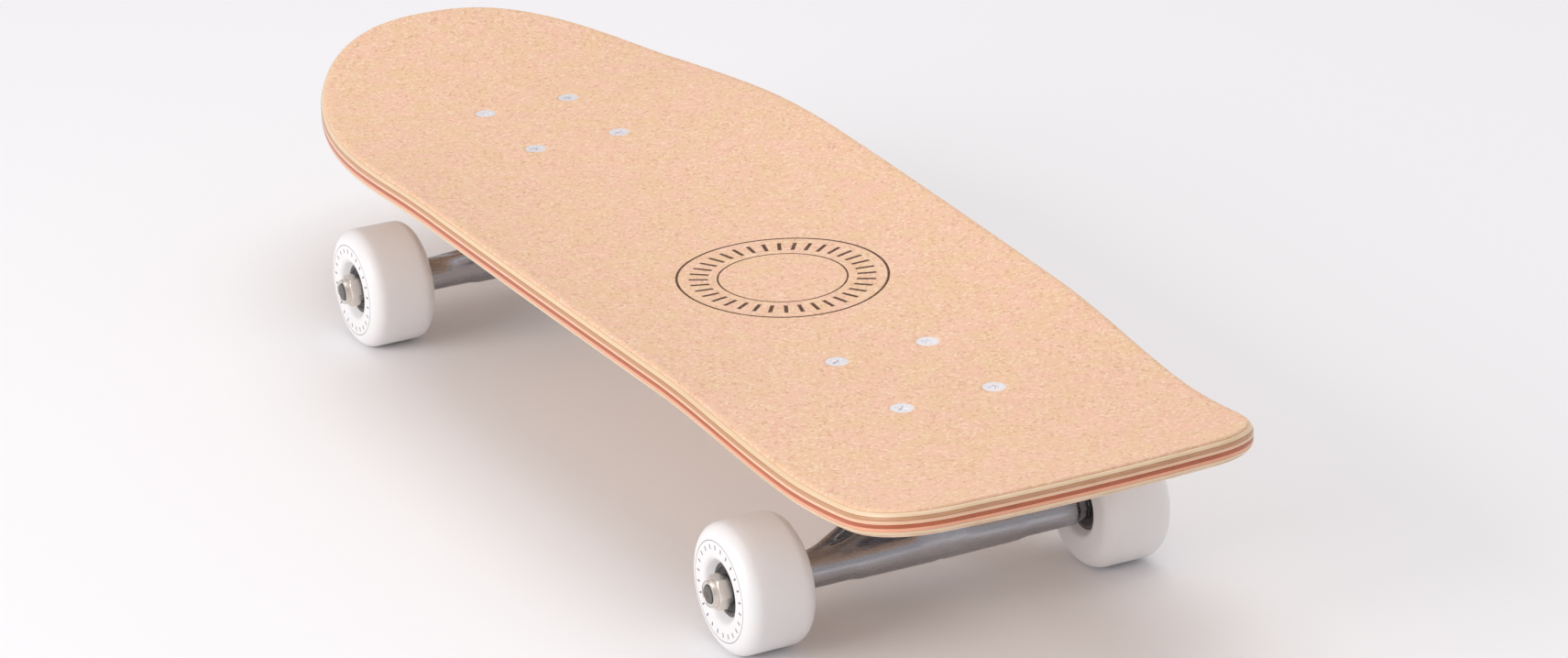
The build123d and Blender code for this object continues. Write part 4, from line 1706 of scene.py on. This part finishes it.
    def build_axle(self) -> None:
        """Makes the axle, its washers and nuts, and the inner rings that turn on nothing."""
        label = self.truck.label
        width, gap, washer = BEARING_WIDTH, 10.0, 0.9
        inner = self.hanger_half + washer
        outer = inner + width + gap
        nut_at = outer + width + washer
        nut_high = corners(f"{label}_axle_nuts")[1][1] / MM - nut_at
        halves, washers, nuts, inserts, rings = [], [], [], [], []
        reach = self.axle_reach / MM
        for side in (-1, 1):
            halves.append(threaded_rod("half", AXLE_R * MM, reach * MM, 9 * MM, self.axle_at(side * 1e-6),
                                       1.1 * MM))
            for y in (self.hanger_half, outer + width):
                washers.append(self.turned("washer", [(4.1, 0.02, 0), (6.0, 0.02, 0.2), (6.0, 0.88, 0.2),
                                                      (4.1, 0.88, 0)], self.axle_at(side * y), 56))
            place = self.axle_at(side * nut_at)
            nuts.append(hex_nut("nut", 12.7 * MM, (nut_high - 2.2) * MM, 4.9 * MM, place,
                                (5.6 * MM, 2.2 * MM)))
            low = nut_high - 2.4
            inserts.append(self.turned("insert", [(4.02, low, 0), (4.88, low, 0), (4.88, nut_high - 0.3, 0),
                                                  (4.02, nut_high - 0.5, 0.1)], place, 48))
            for y in (inner, outer):
                rings.append(self.turned("ring", [(4.02, 0, 0.25), (6.05, 0, 0.15), (6.05, width, 0.15),
                                                  (4.02, width, 0.25)], self.axle_at(side * y), 56))
        self.shop.dress(join(f"{label}_truck_axle", halves), "axle_steel", self.body(), f"{label}_axle")
        self.shop.dress(join(f"{label}_axle_washers", washers), "washer_steel", self.body(),
                        f"{label}_speed_washers")
        self.shop.dress(join(f"{label}_axle_locknuts", nuts), "nut_steel", self.body(), f"{label}_axle_nuts")
        self.shop.dress(join(f"{label}_nut_inserts", inserts), "pivot_plastic", self.body())
        self.shop.dress(join(f"{label}_inner_rings", rings), "bearing_steel", self.body(),
                        f"{label}_bearing_inner_rings")
        self.shop.dress_kept(f"{label}_bearing_spacers", "spacer_steel")

    def build(self) -> None:
        """Makes the whole truck."""
        self.build_castings()
        self.build_kingpin()
        self.build_axle()


# ---------------------------------------------------------------- wheels

@dataclass
class Wheel:
    """One wheel with everything that turns with it. Its profile is in millimetres."""

    shop: Workshop
    truck: Truck
    side: Side
    prefix: str = field(init=False)
    body: str = field(init=False)
    centre: Array = field(init=False)
    radius: float = field(init=False)
    half: float = field(init=False)

    def __post_init__(self) -> None:
        """Reads the wheel's place and size from the frame."""
        self.prefix = f"{self.truck.label}_{self.side.name.lower()}"
        low, high = corners(f"{self.prefix}_wheel")
        self.centre = (low + high) / 2
        self.radius = (high[2] - low[2]) / 2 / MM
        self.half = (high[1] - low[1]) / 2 / MM
        self.body = f"{self.prefix}_wheel_set"

    def at(self, h: float) -> Place:
        """A place on the wheel's axis, pointing outwards.

        Args:
            h: how far outwards from its middle it is, in millimetres.

        Returns:
            The place.
        """
        way = np.array([0, float(self.side.value), 0])
        return aimed(self.centre + way * h * MM, way, ALONG)

    def tyre(self) -> bpy.types.Object:
        """The urethane: a flat tread, wide rounded shoulders, faces that dish in to the bearing seat.

        Returns:
            The object.
        """
        r, w = self.radius, self.half
        corner = 6.5
        arc = np.linspace(0, pi / 2, 12)
        shoulder = np.stack([r - corner + corner * np.sin(arc), w - corner + corner * np.cos(arc)], axis=1)
        seat, rib = 11.02, 9.4
        face = rounded([(11.02, 12.0, 0), (11.2, 12.05, 0), (13.0, w - 0.6, 1.2), (14.3, w, 0.8),
                        (15.0, w, 0)], 4)
        upper = np.concatenate([[(rib, 0.0), (rib, 4.7), (rib + 0.3, 5.0), (seat, 5.0)], face, shoulder])
        tread = np.array([(r, (w - corner) * k) for k in (0.66, 0.33)])
        half = np.concatenate([upper, tread])
        lower = half[1:][::-1] * np.array([1, -1])
        profile = np.concatenate([half, [(r, 0.0)], lower]) * MM
        return lathe(f"{self.prefix}_tyre", profile, self.at(0), 144)

    def build(self) -> None:
        """Makes the tyre and its two bearings' outer rings and shields."""
        centre = (float(self.centre[0]), float(self.centre[2]))
        edge = abs(float(self.centre[1])) + (self.half - 0.3) * MM
        urethane = WheelUrethane(centre, edge).build(f"{self.prefix}_urethane")
        self.shop.dress(self.tyre(), "wheel_urethane", self.body, f"{self.prefix}_wheel", material=urethane)
        rings, shields = [], []
        for way in (-1, 1):
            place = self.at(way * 5.0)
            out = aimed(place.origin, np.array([0, float(self.side.value * way), 0]), ALONG)
            rings.append(lathe("ring", rounded([(9.3, 0, 0.2), (11.0, 0, 0.35), (11.0, BEARING_WIDTH, 0.35),
                                                (9.3, BEARING_WIDTH, 0.2)]) * MM, out, 96))
            for low in (0.15, 6.55):
                dish = 0.0 if low < 1 else -0.12
                shields.append(lathe("shield", rounded([(6.2, low, 0), (9.28, low, 0), (9.28, low + 0.3, 0.1),
                                                        (8.9, low + 0.3, 0.1), (8.6, low + 0.3 + dish, 0.1),
                                                        (6.9, low + 0.3 + dish, 0.1), (6.6, low + 0.3, 0.1),
                                                        (6.2, low + 0.3, 0.05)]) * MM, out, 96))
        self.shop.dress(join(f"{self.prefix}_outer_rings", rings), "bearing_steel", self.body,
                        f"{self.prefix}_bearing_outer_rings")
        self.shop.dress(join(f"{self.prefix}_shields", shields), "shield_rubber", self.body,
                        f"{self.prefix}_bearing_shields")
        self.shop.dress_kept(f"{self.prefix}_bearing_balls", "bearing_steel")
        self.shop.dress_kept(f"{self.prefix}_bearing_cages", "cage_nylon")


# ---------------------------------------------------------------- studio

@dataclass
class Studio:
    """A pale floor, soft light and the camera."""

    target: Array
    azimuth: float = -116.74
    elevation: float = 22.26
    roll: float = -1.59
    slide: tuple[float, float, float] = (26.37, -37.52, 2136.59)
    lens: float = 116.06

    def axes(self) -> tuple[Array, Array, Array]:
        """The camera's directions, from its azimuth, elevation and roll.

        Returns:
            Right, up and back.
        """
        a, e, r = radians(self.azimuth), radians(self.elevation), radians(self.roll)
        back = np.array([sin(a) * cos(e), -cos(a) * cos(e), sin(e)])
        right = unit(np.cross([0, 0, 1.0], back))
        up = np.cross(back, right)
        return cos(r) * right + sin(r) * up, cos(r) * up - sin(r) * right, back

    def add_camera(self) -> None:
        """Makes the camera and makes it the scene's own."""
        right, up, back = self.axes()
        place = self.target + (self.slide[0] * right + self.slide[1] * up + self.slide[2] * back) * MM
        data = bpy.data.cameras.new("camera")
        data.lens = self.lens
        data.sensor_width = 36.0
        data.clip_end = 50.0
        camera = bpy.data.objects.new("camera", data)
        turn = Matrix([[*row] for row in np.stack([right, up, back], axis=1)])
        camera.matrix_world = Matrix.Translation(Vector(place)) @ turn.to_4x4()
        bpy.context.scene.collection.objects.link(camera)
        bpy.context.scene.camera = camera

    def add_light(self, name: str, place: tuple[float, float, float], size: tuple[float, float], watts: float,
                  colour: Colour = (1.0, 1.0, 1.0)) -> None:
        """Makes a rectangular light aimed at the target.

        Args:
            name: its name.
            place: where it is, from the target.
            size: its width and height.
            watts: its power.
            colour: its colour.
        """
        data = bpy.data.lights.new(name, "AREA")
        data.shape = "RECTANGLE"
        data.size, data.size_y = size
        data.energy = watts
        data.color = colour
        light = bpy.data.objects.new(name, data)
        way = Vector(place)
        turn = way.to_track_quat("Z", "Y").to_matrix().to_4x4()
        light.matrix_world = Matrix.Translation(Vector(self.target) + way) @ turn
        bpy.context.scene.collection.objects.link(light)

    def add_floor(self) -> None:
        """Makes the floor, a large pale sheet just under the wheels."""
        side = 30.0
        sheet = np.array([[-side, -side, 0], [side, -side, 0], [side, side, 0], [-side, side, 0]])
        mesh = bpy.data.meshes.new("floor")
        mesh.from_pydata([tuple(p) for p in sheet], [], [(0, 1, 2, 3)])
        floor = bpy.data.objects.new("floor", mesh)
        s = Shader("floor")
        s.set(Base_Color=linear((0.97, 0.965, 0.97)), Roughness=0.9, Specular_IOR_Level=0.1)
        mesh.materials.append(s.material)
        bpy.context.scene.collection.objects.link(floor)

    def build(self) -> None:
        """Makes the floor, the lights, the sky and the camera."""
        self.add_floor()
        self.add_camera()
        self.add_light("key", (-0.2, 2.2, 0.9), (1.6, 1.2), 26.0)
        self.add_light("top", (0.1, -0.3, 2.4), (2.2, 2.2), 24.0)
        world = bpy.data.worlds.new("studio")
        world.use_nodes = True
        sky = world.node_tree.nodes["Background"]
        sky.inputs["Color"].default_value = (1.0, 0.985, 1.0, 1.0)
        sky.inputs["Strength"].default_value = 0.55
        bpy.context.scene.world = world
        bpy.context.scene.view_settings.view_transform = "Standard"


# ---------------------------------------------------------------- all of it

def bolt_places() -> tuple[list[tuple[float, float]], dict[Truck, Array]]:
    """The eight bolts' places and each truck's bolt pattern's centre, from the bolts' box.

    Returns:
        The places, and the centres by truck.
    """
    low, high = corners("mount_bolts")
    half = np.array([26.99, 20.65]) * MM
    head = high[1] - half[1]
    centres = {Truck.FRONT: np.array([high[0] - head - half[0], 0.0]),
               Truck.REAR: np.array([low[0] + head + half[0], 0.0])}
    places = [(float(c[0]) + i * half[0], j * half[1])
              for c in centres.values() for i in (-1, 1) for j in (-1, 1)]
    return places, centres


def main() -> None:
    """Builds the whole scene."""
    logging.basicConfig(level=logging.INFO, format="%(name)s %(message)s")
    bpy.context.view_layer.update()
    holes, centres = bolt_places()
    middle = float(centres[Truck.FRONT][0] + centres[Truck.REAR][0]) / 2
    shop = Workshop(finish_table((middle - 51.4 * MM, -2.5 * MM)))
    deck = Deck(shop, holes=holes)
    deck.build()
    MountHardware(shop, deck).build()
    for truck in Truck:
        TruckSet(shop, truck, centres[truck]).build()
        for side in Side:
            Wheel(shop, truck, side).build()
    Studio(np.array([middle, 0.0, deck.top])).build()
    LOG.info("%d pieces made", shop.pieces)


if __name__ == "__main__":
    main()
